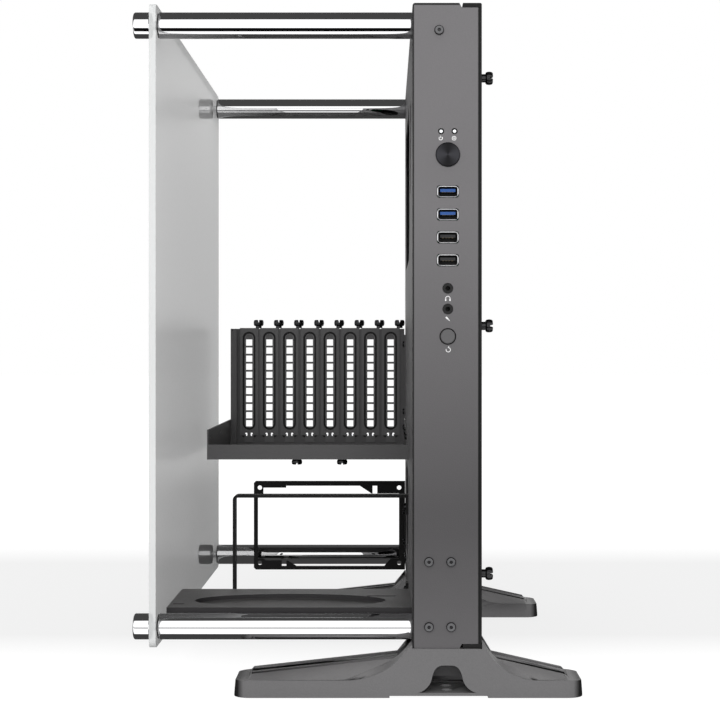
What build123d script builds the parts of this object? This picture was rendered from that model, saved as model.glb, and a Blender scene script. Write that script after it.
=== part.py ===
"""Open test bench chassis: a thin steel body on two feet, with a clear side panel on four rods.

Millimetres. +X points from the window to the rear cover, +Y from the connector wall to the
rear wall and +Z up. The origin is on the floor under the middle of the chassis.
"""

import os

from build123d import *

os.makedirs("parts", exist_ok=True)

# Overall sizes
overall_width = 333.0
overall_depth = 470.0
overall_height = 512.0
foot_proud = 2.0

# Folded sheet of the body and its brackets
sheet = 1.2
body_bottom = 37.0
body_top = overall_height
wall_width = 49.8
pan_corner_radius = 2.0
lip_width = 13.9
lip_gap = 0.8
lip_slant = 1.8
lip_step = 3.4
lip_clearance = 0.2
lip_hem = lip_step - lip_clearance
return_flange = 14.0
front_y = foot_proud - overall_depth / 2
rear_y = overall_depth / 2
body_depth = rear_y - front_y
body_mid_y = (front_y + rear_y) / 2
body_mid_z = (body_bottom + body_top) / 2
body_height = body_top - body_bottom
wall_inner_y = front_y + sheet
rail_height = lip_step + sheet
rail_gap = body_height - 2 * rail_height
fit_gap = 0.3
thread_gap = 0.05

# Window, rods and caps
cap_length = 12.2
rod_length = 188.2
panel_thickness = 5.0
panel_corner_radius = 6.0
washer_thickness = 0.8
washer_radius = 9.0
rod_radius = 9.75
rod_inset_y = 15.0
rod_inset_z = 14.0
cap_chamfer = 1.4
stud_radius = 2.95
stud_in_cap = 8.0
stud_in_rod = 15.0
panel_hole_radius = 3.3
rod_screw_radius = 2.95
rod_screw_length = 14.0
rod_screw_head_radius = 5.0
rod_screw_head_height = 3.3
cap_end_x = -overall_width / 2
cap_start_x = cap_end_x + cap_length
panel_outer_x = cap_start_x + washer_thickness
panel_inner_x = panel_outer_x + panel_thickness
rod_start_x = panel_inner_x + washer_thickness
tray_face_x = rod_start_x + rod_length
tray_inner_x = tray_face_x + sheet
wall_edge_x = tray_face_x + wall_width
cover_x = wall_edge_x + sheet
lip_start_x = cover_x - lip_width - lip_gap
rod_front_y = front_y + rod_inset_y
rod_rear_y = rear_y - rod_inset_y
rod_top_z = body_top - rod_inset_z
rod_bottom_z = body_bottom + rod_inset_z
rod_places = [
    (rod_front_y, rod_top_z),
    (rod_front_y, rod_bottom_z),
    (rod_rear_y, rod_top_z),
    (rod_rear_y, rod_bottom_z),
]

# Openings in the tray face: first and last Y, low and high Z, corner
board_opening = (rear_y - 303.0, rear_y - 28.0, body_top - 179.0, body_top - 49.0, 25.0)
cable_opening = (front_y + 75.0, front_y + 128.0, body_top - 131.0, body_top - 59.0, 12.0)
lower_front_opening = (rear_y - 303.0, rear_y - 256.0, body_bottom + 32.0, body_bottom + 113.0, 14.0)
lower_rear_opening = (rear_y - 223.0, rear_y - 73.0, body_bottom + 32.0, body_bottom + 113.0, 20.0)
tray_openings = [board_opening, cable_opening, lower_front_opening, lower_rear_opening]
cooler_slot_depths = (33.0, 138.0)
cooler_slot_rises = (58.0, 153.0, 248.0)
cooler_slot_length = 60.0
cooler_slot_width = 4.6
tie_slots = [(rear_y - 103.0, body_bottom + 193.0), (rear_y - 16.0, body_bottom + 275.0)]
tie_slot_length = 14.0
tie_slot_width = 4.0
cooler_slots = [
    (front_y + depth, body_bottom + rise)
    for depth in cooler_slot_depths
    for rise in cooler_slot_rises
]

# Circuit board holes, stepped forward from the last column and down from the top row
board_hole_radius = 1.6
board_hole_setback = 12.2
board_hole_drop = 34.0
board_hole_steps = (0.0, 154.94, 227.33)
board_hole_drops = (0.0, 157.48, 281.94)
board_holes = [
    (rear_y - board_hole_setback - step, body_top - board_hole_drop - drop)
    for step in board_hole_steps
    for drop in board_hole_drops
]

# Cover, its knurled screws and the wall-mount holes
knob_spread = 183.4
knob_inset = 9.0
knob_head_radius = 4.7
knob_head_height = 5.6
knob_neck_radius = 3.2
knob_neck_height = 3.0
knob_shank_radius = 1.9
knob_shank_length = 6.0
wall_mount_spacing = 100.0
wall_mount_hole_radius = 2.3
knob_heights = [body_mid_z - knob_spread, body_mid_z, body_mid_z + knob_spread]
knob_depths = [front_y + knob_inset, rear_y - knob_inset]

# Expansion slots
slot_count = 8
slot_pitch = 20.32
slot_last_gap = 14.86
bracket_y = rear_y - 14.0
bracket_left_gap = 17.8
bracket_top_z = body_bottom + 240.4
bracket_channel = 8.0
bracket_left_lip = 6.0
bracket_right_gap = sheet
bracket_right_lip = 3.4
bracket_corner = 4.0
ledge_depth = 12.6
slot_window_width = 15.6
slot_window_low = bracket_top_z - 109.0
slot_window_high = bracket_top_z - 2.2
slot_window_corner = 3.0
bracket_flange_depth = 18.0
bracket_flange_gap = 1.0
bracket_flange_drop = 6.0
bracket_screw_inset = 12.0
bracket_screw_heights = (bracket_top_z - 82.4, bracket_top_z - 15.4)
cover_width = 18.4
cover_sheet = 0.8
cover_low_z = bracket_top_z - 114.0
cover_foot_width = 9.0
cover_foot_height = 7.0
dish_width = 12.9
dish_length = 98.8
dish_mid_z = bracket_top_z - 53.0
dish_depth = 2.0
vent_count = 11
vent_pitch = 8.12
vent_width = 6.2
vent_height = 6.2
vent_mid_z = bracket_top_z - 54.4
key_hole_width = 2.1
key_hole_height = 3.3
key_hole_offset = 2.7
key_hole_z = bracket_top_z - 106.0
slot_screw_offset = 9.1
slot_screw_y = bracket_y + 7.2
slot_screw_head_radius = 4.9
slot_screw_head_height = 6.6
slot_screw_neck_radius = 2.7
slot_screw_neck_height = 1.6
slot_screw_radius = 1.6
slot_screw_length = 5.0
slot_notch_width = 1.8
slot_notch_depth = 2.6
bracket_right_x = tray_face_x - bracket_right_gap
slot_first_x = tray_face_x - slot_last_gap - (slot_count - 1) * slot_pitch
bracket_left_x = slot_first_x - bracket_left_gap
cover_tab_top_z = bracket_top_z + cover_sheet
slot_centres = [slot_first_x + index * slot_pitch for index in range(slot_count)]

# Shelf under the slots
shelf_bottom_z = bracket_top_z - 116.9
shelf_front_y = bracket_y - 219.0
shelf_lip_height = 13.0
shelf_side_height = 26.0
shelf_screw_rise = 19.0
shelf_screw_steps = (20.0, 110.0, 200.0)
shelf_screw_x = (tray_face_x - 97.9, tray_face_x - 58.1)
shelf_screw_y = shelf_front_y + 9.0
shelf_screw_head_radius = 4.5
shelf_screw_head_height = 4.6
shelf_screw_radius = 1.9
shelf_screw_length = 5.0
shelf_floor_z = shelf_bottom_z + sheet
shelf_left_x = bracket_left_x - sheet
shelf_rear_y = bracket_y + sheet

# Power supply frame, 150 by 88, with holes 138 by 74.5 apart
supply_frame_y = rear_y - 38.0
supply_mid_x = tray_face_x - 75.5
supply_mid_z = body_bottom + 45.5
supply_width = 149.8
supply_height = 87.8
supply_sheet = 1.5
supply_hole_x = 138.0
supply_hole_z = 74.5
supply_hole_radius = 2.2
supply_corner = 2.0
supply_left_bar = 4.0
supply_right_bar = 6.0
supply_top_bar = 4.8
supply_bottom_bar = 3.5
supply_tab = 9.4
supply_tab_drop = 15.0
supply_tab_rise = 11.0
supply_tab_slant = 3.0
supply_upper_ledge = 12.4
supply_lower_ledge = 9.2
supply_top_step = 1.9
supply_top_left = 43.0
supply_top_right = 30.0
supply_low_left = 32.7
supply_low_right = 60.6
supply_low_slant = 6.3
supply_notch_offset = 114.0
supply_notch_width = 4.6
supply_notch_flare = 1.2
supply_flange_depth = 20.0
supply_flange_half = 22.0
supply_screw_inset = 12.0
supply_screw_offset = 15.0

# Strap round the free end of the power supply
strap_y = supply_frame_y - 202.0
strap_width = 14.0
strap_thickness = 2.4
strap_left_x = supply_mid_x - 76.9
strap_low_z = supply_mid_z - 45.2
strap_high_z = supply_mid_z + 48.2
strap_corner = 4.4
strap_flange = 17.0
strap_screw_inset = 11.0

# Pressed plate over the front bottom rod
pump_left_x = tray_face_x - 184.4
pump_front_y = front_y + 26.0
pump_depth = 98.0
pump_top_z = body_bottom + 26.2
pump_sheet = 1.5
pump_lip = 11.0
pump_flange = 16.0
pump_screw_drop = 9.0
pump_screw_steps = (20.0, 78.0)
pump_corner = 4.0
pump_dish_length = 147.0
pump_dish_width = 66.0
pump_dish_x = tray_face_x - 93.5
pump_dish_y = pump_front_y + 37.0
pump_dish_depth = 3.0
pump_slots = [
    (tray_face_x - 177.5, 18.0, 9.0, 3.0),
    (tray_face_x - 23.0, 59.0, 24.0, 4.0),
    (tray_face_x - 101.1, 6.0, 5.4, 3.4),
]

# Cast feet
foot_left_x = tray_face_x - 132.0
foot_right_x = overall_width / 2
foot_depth = 46.0
foot_skin = 1.5
foot_scoop = 15.0
foot_base_z = 1.0
foot_tip_z = 13.8
foot_tip_fall = 0.5
foot_flat_rise = 0.1
foot_draft = 1.3
foot_saddle_gap = 0.2
foot_left_arc_x = tray_face_x - 48.5
foot_right_arc_x = cover_x + 41.5
foot_left_horn = 3.0
foot_right_horn = 4.5
foot_horn_width = 0.9
foot_ridge_low_z = 15.9
foot_ridge_high_z = 27.9
foot_ridge_end = 12.3
foot_ridge_step = 2.0
foot_left_ridge_gap = 10.9
foot_right_ridge_gap = 9.3
foot_groove_depth = 2.3
foot_grooves = ((15.0, 22.0), (34.0, 42.5))
foot_corner_radius = 12.0
foot_arch_low_z = 4.7
foot_arch_high_z = 24.9
foot_arch_half_foot = 21.9
foot_arch_half_top = 3.9
foot_arch_curve = ((15.5, 8.0), (12.0, 13.0), (10.7, 18.0), (8.3, 22.6))
foot_arch_depth = 38.0
foot_middle_left_x = tray_face_x - 16.9
foot_middle_right_x = cover_x + 4.5
foot_middle_rise = 1.5
rear_foot_setback = 99.0
foot_arch_x = (tray_face_x + cover_x) / 2
front_foot_y = front_y - foot_proud
rear_foot_y = rear_y - rear_foot_setback
foot_faces = {"front_foot": front_foot_y, "rear_foot": rear_foot_y}
foot_left_ridge = (
    (foot_left_x + foot_ridge_end, foot_ridge_low_z),
    (tray_face_x - foot_left_ridge_gap, foot_ridge_high_z),
)
foot_right_ridge = (
    (foot_right_x - foot_ridge_end, foot_ridge_low_z),
    (cover_x + foot_right_ridge_gap, foot_ridge_high_z),
)
foot_left_step_x = foot_left_ridge[0][0] - foot_ridge_step
foot_right_step_x = foot_right_ridge[0][0] + foot_ridge_step

# Soft pads under the feet
pad_length = 50.0
pad_width = 24.0
pad_recess = 1.5
pad_end_gap = 34.0
pad_left_x = foot_left_x + pad_end_gap
pad_right_x = foot_right_x - pad_end_gap

# Steel angles inside the body and their screws
angle_thickness = 3.0
angle_left_x = tray_face_x + 5.5
angle_width = 27.0
angle_front_height = 74.0
angle_rear_height = 28.0
angle_depth = 36.0
angle_screw_z = body_bottom + 19.0
angle_screw_steps = (14.0, 32.0)
foot_screw_x = (tray_face_x + 12.1, tray_face_x + 28.4)
foot_screw_z = (body_bottom + 15.9, body_bottom + 63.7)
foot_screw_head_radius = 3.6
foot_screw_radius = 1.9
foot_screw_length = 5.0
base_screw_y = (12.0, 28.0)
base_screw_radius = 1.9
base_screw_head_radius = 3.2
base_screw_length = 17.0
driver_hole_radius = 4.0

# Small pan-head screws that hold brackets to the tray
tray_screw_radius = 1.45
tray_screw_head_radius = 2.8
tray_screw_head_height = 1.8
tray_screw_length = 5.0
wall_screw_x = tray_face_x + 19.6
wall_screw_z = body_top - 20.0

# Connector column on the front wall
io_x = tray_face_x + 26.0
light_offset = 4.95
light_z = body_top - 94.4
light_radius = 2.1
power_z = body_top - 111.6
power_radius = 8.8
power_proud = 1.6
power_flange_radius = 10.6
power_switch_size = 12.0
reset_z = body_top - 245.4
reset_radius = 5.3
reset_hole_radius = 6.2
reset_proud = 1.6
reset_flange_radius = 7.4
reset_switch_size = 8.0
button_travel = 1.5
button_flange = 1.2
button_edge = 0.5
button_boss_radius = 3.2
plunger_size = 3.0
switch_height = 6.8
port_first_z = body_top - 138.8
port_pitch = 16.83
port_width = 15.7
port_height = 8.5
port_corner = 2.0
port_shell_corner = 0.6
port_shell_width = 13.2
port_shell_height = 6.2
port_wall = 0.4
port_rim = 0.8
port_tongue_width = 11.2
port_tongue_height = 2.2
port_tongue_rise = 0.9
port_tongue_inset = 1.2
jack_heights = {"headphone_jack": body_top - 210.0, "microphone_jack": body_top - 225.2}
jack_radius = 3.7
jack_bore_radius = 1.75
jack_bore_depth = 12.0
jack_body = 8.4
board_gap = 13.0
board_thickness = 1.6
board_width = 36.0
board_low_z = reset_z - 11.6
board_high_z = light_z + 11.4
spacer_radius = 2.6
spacer_offset_x = 13.4
spacer_margin_z = 6.0
spacer_bore_radius = 1.5
spacer_screw_length = 6.0
port_heights = [port_first_z - index * port_pitch for index in range(4)]
port_names = ["upper_fast", "lower_fast", "upper_plain", "lower_plain"]
board_front_y = wall_inner_y + board_gap
power_hole_radius = power_radius + fit_gap
light_places = [(io_x - light_offset, light_z), (io_x + light_offset, light_z)]
spacer_places = [
    (io_x + side * spacer_offset_x, z)
    for side in (-1, 1)
    for z in (board_low_z + spacer_margin_z, board_high_z - spacer_margin_z)
]

# Screw places on the tray face, as (Y, Z)
shelf_tray_screws = [(shelf_front_y + step, shelf_bottom_z + shelf_screw_rise) for step in shelf_screw_steps]
bracket_tray_screws = [(bracket_y - bracket_screw_inset, z) for z in bracket_screw_heights]
supply_tray_screws = [
    (supply_frame_y - supply_screw_inset, supply_mid_z + side * supply_screw_offset) for side in (-1, 1)
]
strap_tray_screws = [
    (strap_y, strap_low_z + strap_screw_inset),
    (strap_y, strap_high_z - strap_screw_inset),
]
pump_tray_screws = [(pump_front_y + step, pump_top_z - pump_screw_drop) for step in pump_screw_steps]
angle_tray_screws = [(rear_foot_y + step, angle_screw_z) for step in angle_screw_steps]
flange_screws = (
    shelf_tray_screws + bracket_tray_screws + supply_tray_screws + pump_tray_screws
)


def plane_at_y(y):
    """Upright plane across the chassis at this Y, with local axes X and Z."""
    return Plane.XZ.offset(-y)


def plane_at_x(x):
    """Upright plane along the chassis at this X, with local axes Y and Z."""
    return Plane.YZ.offset(x)


def save(solid, name):
    """Label one finished piece and write its file."""
    solid.label = name
    export_step(solid, f"parts/{name}.step")


def pan_screw(head_radius, head_height, shank_radius, shank_length):
    """Pan-head screw along Z with a cross recess, its head's underside at the origin."""
    with BuildPart() as screw:
        Cylinder(head_radius, head_height, align=(Align.CENTER, Align.CENTER, Align.MIN))
        chamfer(screw.edges().sort_by(Axis.Z)[-1], head_height * 0.35)
        Cylinder(shank_radius, shank_length, align=(Align.CENTER, Align.CENTER, Align.MAX))
        with BuildSketch(Plane.XY.offset(head_height)):
            Rectangle(head_radius * 1.1, head_radius * 0.28)
            Rectangle(head_radius * 0.28, head_radius * 1.1)
        extrude(amount=-head_height * 0.5, mode=Mode.SUBTRACT)
    return screw.part


def knurled_screw(head_radius, head_height, neck_radius, neck_height, shank_radius, shank_length):
    """Thumbscrew along Z with a many-sided head, its neck's underside at the origin."""
    with BuildPart() as screw:
        with BuildSketch(Plane.XY.offset(neck_height)):
            RegularPolygon(head_radius, 16)
        extrude(amount=head_height)
        rims = screw.faces().filter_by(Axis.Z).edges()
        chamfer(rims, head_radius * 0.16)
        Cylinder(neck_radius, neck_height, align=(Align.CENTER, Align.CENTER, Align.MIN))
        Cylinder(shank_radius, shank_length, align=(Align.CENTER, Align.CENTER, Align.MAX))
    return screw.part


# Body: a flat tray between two rails and two walls
def pan_points(inset, right_x):
    """Front outline of the body, moved in by a wall and ended at right_x."""
    left = tray_face_x + inset
    knee = lip_start_x - inset
    low = body_bottom + inset
    high = body_top - inset
    return [
        (left, low),
        (knee - lip_slant, low),
        (knee, low + lip_step),
        (right_x, low + lip_step),
        (right_x, high - lip_step),
        (knee, high - lip_step),
        (knee - lip_slant, high),
        (left, high),
    ]


with BuildPart() as body_pan:
    with BuildSketch(plane_at_y(front_y)) as pan_outline:
        with BuildLine():
            Polyline(*pan_points(0, wall_edge_x), close=True)
        make_face()
        fillet(pan_outline.vertices().group_by(Axis.X)[0], pan_corner_radius)
    extrude(amount=-body_depth)
    with BuildSketch(plane_at_y(wall_inner_y)) as pan_hollow:
        with BuildLine():
            Polyline(*pan_points(sheet, wall_edge_x - sheet), close=True)
        make_face()
        fillet(pan_hollow.vertices().group_by(Axis.X)[0], pan_corner_radius - sheet)
    extrude(amount=-(body_depth - 2 * sheet), mode=Mode.SUBTRACT)
    with BuildSketch(plane_at_x(wall_edge_x)):
        with Locations((body_mid_y, body_mid_z)):
            Rectangle(body_depth - 2 * return_flange, rail_gap)
    extrude(amount=-2 * sheet, mode=Mode.SUBTRACT)
    for start_y, end_y, low_z, high_z, corner in tray_openings:
        with BuildSketch(plane_at_x(tray_face_x)) as opening:
            with Locations(((start_y + end_y) / 2, (low_z + high_z) / 2)):
                Rectangle(end_y - start_y, high_z - low_z)
            chamfer(opening.vertices(), corner)
        extrude(amount=2 * sheet, mode=Mode.SUBTRACT)
    with BuildSketch(plane_at_x(tray_face_x)):
        with Locations(cooler_slots):
            SlotOverall(cooler_slot_length, cooler_slot_width, rotation=90)
        with Locations(tie_slots):
            SlotOverall(tie_slot_length, tie_slot_width, rotation=90)
        with Locations(board_holes):
            Circle(board_hole_radius)
        with Locations(rod_places):
            Circle(rod_screw_radius + fit_gap)
        with Locations(flange_screws + strap_tray_screws + angle_tray_screws):
            Circle(tray_screw_radius + thread_gap)
    extrude(amount=2 * sheet, mode=Mode.SUBTRACT)
    with BuildSketch(plane_at_y(front_y)):
        with Locations((io_x, power_z)):
            Circle(power_hole_radius)
        with Locations((io_x, reset_z)):
            Circle(reset_hole_radius)
        with Locations(light_places):
            Circle(light_radius + fit_gap / 2)
        with Locations([(io_x, z) for z in port_heights]):
            RectangleRounded(port_width + 2 * fit_gap, port_height + 2 * fit_gap, port_corner)
        with Locations([(io_x, z) for z in jack_heights.values()]):
            Circle(jack_radius + fit_gap)
        with Locations([(x, z) for x in foot_screw_x for z in foot_screw_z]):
            Circle(foot_screw_radius + thread_gap)
        with Locations((wall_screw_x, wall_screw_z)):
            Circle(tray_screw_radius + thread_gap)
    extrude(amount=-2 * sheet, mode=Mode.SUBTRACT)
    with BuildSketch(plane_at_x(wall_edge_x)):
        with Locations([(y, z) for y in knob_depths for z in knob_heights]):
            Circle(knob_shank_radius + thread_gap)
    extrude(amount=-2 * sheet, mode=Mode.SUBTRACT)
    with BuildSketch(Plane.XY.offset(body_bottom)):
        with Locations([(foot_arch_x, face + y) for face in foot_faces.values() for y in base_screw_y]):
            Circle(base_screw_radius + fit_gap)
    extrude(amount=2 * sheet, mode=Mode.SUBTRACT)

# Front and rear walls, each with a flange that the cover's screws go into
for wall_name, wall_y, inward in (("front_wall", front_y, 1), ("rear_wall", rear_y, -1)):
    with BuildPart() as wall:
        with BuildSketch(plane_at_y(wall_y)):
            with Locations(((tray_face_x + wall_edge_x) / 2, body_mid_z)):
                Rectangle(wall_width, body_height)
        extrude(amount=-inward * sheet)
        with BuildSketch(plane_at_x(wall_edge_x)):
            with Locations((wall_y + inward * return_flange / 2, body_mid_z)):
                Rectangle(return_flange, rail_gap)
        extrude(amount=-sheet)
        add(body_pan.part, mode=Mode.INTERSECT)
    save(wall.part, wall_name)

# Top and bottom rails, each with a rounded corner and a step that the cover's lip goes over
for rail_name, rail_low_z in (("bottom_rail", body_bottom), ("top_rail", body_top - rail_height)):
    with BuildPart() as rail:
        with BuildSketch(Plane.XY.offset(rail_low_z)):
            with Locations(((tray_face_x + wall_edge_x) / 2, body_mid_y)):
                Rectangle(wall_width, body_depth - 2 * sheet)
        extrude(amount=rail_height)
        add(body_pan.part, mode=Mode.INTERSECT)
    save(rail.part, rail_name)

with BuildPart() as chassis_tray:
    with BuildSketch(plane_at_x(tray_face_x)):
        with Locations((body_mid_y, body_mid_z)):
            Rectangle(body_depth - 2 * sheet, body_height - 2 * rail_height)
    extrude(amount=sheet)
    add(body_pan.part, mode=Mode.INTERSECT)
save(chassis_tray.part, "chassis_tray")

# Cover with its top and bottom lips
with BuildPart() as rear_cover:
    with BuildSketch(plane_at_y(front_y)) as cover_outline:
        with Locations(((lip_start_x + lip_gap + cover_x) / 2, body_mid_z)):
            Rectangle(lip_width, body_height)
        fillet(cover_outline.vertices().group_by(Axis.X)[-1], sheet)
        with Locations(((lip_start_x + lip_gap + wall_edge_x) / 2, body_mid_z)):
            Rectangle(lip_width - sheet, body_height - 2 * lip_hem, mode=Mode.SUBTRACT)
    extrude(amount=-body_depth)
    with BuildSketch(plane_at_x(wall_edge_x)):
        with Locations([(y, z) for y in knob_depths for z in knob_heights]):
            Circle(knob_shank_radius + fit_gap)
        with Locations((body_mid_y, body_mid_z)):
            with GridLocations(wall_mount_spacing, wall_mount_spacing, 2, 2):
                Circle(wall_mount_hole_radius)
    extrude(amount=2 * sheet, mode=Mode.SUBTRACT)
save(rear_cover.part, "rear_cover")

cover_knob = knurled_screw(
    knob_head_radius, knob_head_height, knob_neck_radius, knob_neck_height, knob_shank_radius,
    knob_shank_length,
)
with BuildPart() as cover_thumbscrews:
    with Locations([Location((cover_x, y, z), (0, 90, 0)) for y in knob_depths for z in knob_heights]):
        add(cover_knob)
save(cover_thumbscrews.part, "cover_thumbscrews")

# Clear panel on its rods
with BuildPart() as window_panel:
    with BuildSketch(plane_at_x(panel_outer_x)):
        with Locations((body_mid_y, body_mid_z)):
            RectangleRounded(body_depth, body_height, panel_corner_radius)
        with Locations(rod_places):
            Circle(panel_hole_radius, mode=Mode.SUBTRACT)
    extrude(amount=panel_thickness)
save(window_panel.part, "window_panel")

rod_names = ["rod_top_front", "rod_bottom_front", "rod_top_rear", "rod_bottom_rear"]
for rod_name, rod_place in zip(rod_names, rod_places):
    with BuildPart() as rod:
        with BuildSketch(plane_at_x(rod_start_x)):
            with Locations(rod_place):
                Circle(rod_radius)
        extrude(amount=tray_face_x - rod_start_x)
        with BuildSketch(plane_at_x(rod_start_x)):
            with Locations(rod_place):
                Circle(stud_radius + thread_gap)
        extrude(amount=stud_in_rod, mode=Mode.SUBTRACT)
        with BuildSketch(plane_at_x(tray_face_x)):
            with Locations(rod_place):
                Circle(rod_screw_radius + thread_gap)
        extrude(amount=-(rod_screw_length - sheet), mode=Mode.SUBTRACT)
    save(rod.part, rod_name)

with BuildPart() as window_caps:
    with BuildSketch(plane_at_x(cap_end_x)):
        with Locations(rod_places):
            Circle(rod_radius)
    extrude(amount=cap_start_x - cap_end_x)
    chamfer(window_caps.faces().sort_by(Axis.X)[:4].edges(), cap_chamfer)
    with BuildSketch(plane_at_x(cap_start_x)):
        with Locations(rod_places):
            Circle(stud_radius + thread_gap)
    extrude(amount=-stud_in_cap, mode=Mode.SUBTRACT)
save(window_caps.part, "window_caps")

with BuildPart() as window_studs:
    with BuildSketch(plane_at_x(cap_start_x - stud_in_cap)):
        with Locations(rod_places):
            Circle(stud_radius)
    extrude(amount=rod_start_x + stud_in_rod - (cap_start_x - stud_in_cap))
save(window_studs.part, "window_studs")

with BuildPart() as window_washers:
    for washer_x in (cap_start_x, panel_inner_x):
        with BuildSketch(plane_at_x(washer_x)):
            with Locations(rod_places):
                Circle(washer_radius)
                Circle(stud_radius + thread_gap, mode=Mode.SUBTRACT)
        extrude(amount=washer_thickness)
save(window_washers.part, "window_washers")

rod_screw = pan_screw(rod_screw_head_radius, rod_screw_head_height, rod_screw_radius, rod_screw_length)
with BuildPart() as rod_screws:
    with Locations([Location((tray_inner_x, y, z), (0, 90, 0)) for y, z in rod_places]):
        add(rod_screw)
save(rod_screws.part, "rod_screws")

# Frame of the expansion slots, a folded sheet with side channels and a ledge on top
bracket_mid_x = (bracket_left_x + bracket_right_x) / 2
bracket_width = bracket_right_x - bracket_left_x
bracket_height = bracket_top_z - shelf_floor_z
bracket_mid_z = (bracket_top_z + shelf_floor_z) / 2
channel_y = bracket_y - bracket_channel
flange_low_z = shelf_bottom_z + shelf_side_height + bracket_flange_gap
flange_high_z = bracket_top_z - bracket_flange_drop
with BuildPart() as slot_bracket:
    with BuildSketch(plane_at_y(bracket_y)):
        with Locations((bracket_mid_x, bracket_mid_z)):
            Rectangle(bracket_width, bracket_height)
    extrude(amount=-sheet)
    with BuildSketch(plane_at_y(channel_y)) as channel:
        with Locations((bracket_mid_x, bracket_mid_z)):
            Rectangle(bracket_width, bracket_height)
        chamfer(channel.vertices().group_by(Axis.Y)[-1], bracket_corner)
        with Locations(((bracket_left_x + bracket_left_lip + bracket_right_x - bracket_right_lip) / 2,
                        bracket_mid_z)):
            Rectangle(bracket_width - bracket_left_lip - bracket_right_lip, bracket_height,
                      mode=Mode.SUBTRACT)
    extrude(amount=-sheet)
    for side_x in (bracket_left_x, bracket_right_x - sheet):
        with BuildSketch(plane_at_x(side_x)) as side_wall:
            with Locations((channel_y + bracket_channel / 2, bracket_mid_z)):
                Rectangle(bracket_channel, bracket_height)
            chamfer(side_wall.vertices().group_by(Axis.Y)[0].sort_by(Axis.Z)[-1], bracket_corner)
        extrude(amount=sheet)
    with BuildSketch(Plane.XY.offset(bracket_top_z)):
        with Locations((bracket_mid_x, bracket_y + sheet + ledge_depth / 2)):
            Rectangle(bracket_width, ledge_depth)
        with Locations([(x + slot_screw_offset, slot_screw_y) for x in slot_centres]):
            Circle(slot_screw_radius + thread_gap, mode=Mode.SUBTRACT)
    extrude(amount=-sheet)
    with BuildSketch(plane_at_y(bracket_y)):
        with Locations([(x, (slot_window_low + slot_window_high) / 2) for x in slot_centres]):
            RectangleRounded(slot_window_width, slot_window_high - slot_window_low,
                             slot_window_corner)
    extrude(amount=-sheet, mode=Mode.SUBTRACT)
    with BuildSketch(plane_at_x(tray_face_x)):
        with Locations((bracket_y - bracket_flange_depth / 2, (flange_low_z + flange_high_z) / 2)):
            Rectangle(bracket_flange_depth, flange_high_z - flange_low_z)
        with Locations(bracket_tray_screws):
            Circle(tray_screw_radius + fit_gap, mode=Mode.SUBTRACT)
    extrude(amount=-bracket_right_gap)
save(slot_bracket.part, "slot_bracket")

# Slot cover with a pressed dish, a row of vents and a tab bent over the ledge
with BuildPart() as slot_cover:
    with BuildSketch(plane_at_y(bracket_y - cover_sheet)) as cover_face:
        with Locations((slot_first_x, (cover_low_z + cover_foot_height + bracket_top_z) / 2)):
            Rectangle(cover_width, bracket_top_z - cover_low_z - cover_foot_height)
        with Locations((slot_first_x, cover_low_z + cover_foot_height / 2)):
            Rectangle(cover_foot_width, cover_foot_height)
    extrude(amount=-cover_sheet)
    with BuildSketch(plane_at_y(bracket_y)):
        with Locations((slot_first_x, dish_mid_z)):
            SlotOverall(dish_length + cover_sheet, dish_width + cover_sheet, rotation=90)
    extrude(amount=-dish_depth)
    with BuildSketch(plane_at_y(bracket_y - cover_sheet)):
        with Locations((slot_first_x, dish_mid_z)):
            SlotOverall(dish_length - cover_sheet, dish_width - cover_sheet, rotation=90)
    extrude(amount=-dish_depth, mode=Mode.SUBTRACT)
    with BuildSketch(plane_at_y(bracket_y - cover_sheet)):
        with Locations((slot_first_x, vent_mid_z)):
            with GridLocations(vent_pitch, vent_pitch, 1, vent_count):
                Rectangle(vent_width, vent_height)
        with Locations([(slot_first_x + side * key_hole_offset, key_hole_z) for side in (-1, 1)]):
            SlotOverall(key_hole_height, key_hole_width, rotation=90)
    extrude(amount=-(dish_depth + 2 * cover_sheet), mode=Mode.SUBTRACT)
    with BuildSketch(Plane.XY.offset(bracket_top_z)):
        with Locations((slot_first_x, bracket_y - cover_sheet + (ledge_depth + cover_sheet) / 2)):
            Rectangle(cover_width, ledge_depth + cover_sheet)
        with Locations((slot_first_x + slot_screw_offset, slot_screw_y),
                       (slot_first_x + slot_screw_offset - slot_pitch, slot_screw_y)):
            Circle(slot_screw_radius + fit_gap, mode=Mode.SUBTRACT)
    extrude(amount=cover_sheet)
for slot_index in range(slot_count):
    with BuildPart() as placed_cover:
        with Locations((slot_index * slot_pitch, 0, 0)):
            add(slot_cover.part)
    save(placed_cover.part, f"slot_cover_{slot_index + 1}")

slot_knob = knurled_screw(
    slot_screw_head_radius, slot_screw_head_height, slot_screw_neck_radius,
    slot_screw_neck_height, slot_screw_radius, slot_screw_length,
)
with BuildPart() as slot_thumbscrews:
    with Locations([(x + slot_screw_offset, slot_screw_y, cover_tab_top_z) for x in slot_centres]):
        add(slot_knob)
    knob_top_z = cover_tab_top_z + slot_screw_neck_height + slot_screw_head_height
    with BuildSketch(Plane.XY.offset(knob_top_z)):
        with Locations([(x + slot_screw_offset, slot_screw_y) for x in slot_centres]):
            Rectangle(slot_notch_width, 3 * slot_screw_head_radius)
    extrude(amount=-slot_notch_depth, mode=Mode.SUBTRACT)
save(slot_thumbscrews.part, "slot_thumbscrews")

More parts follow.
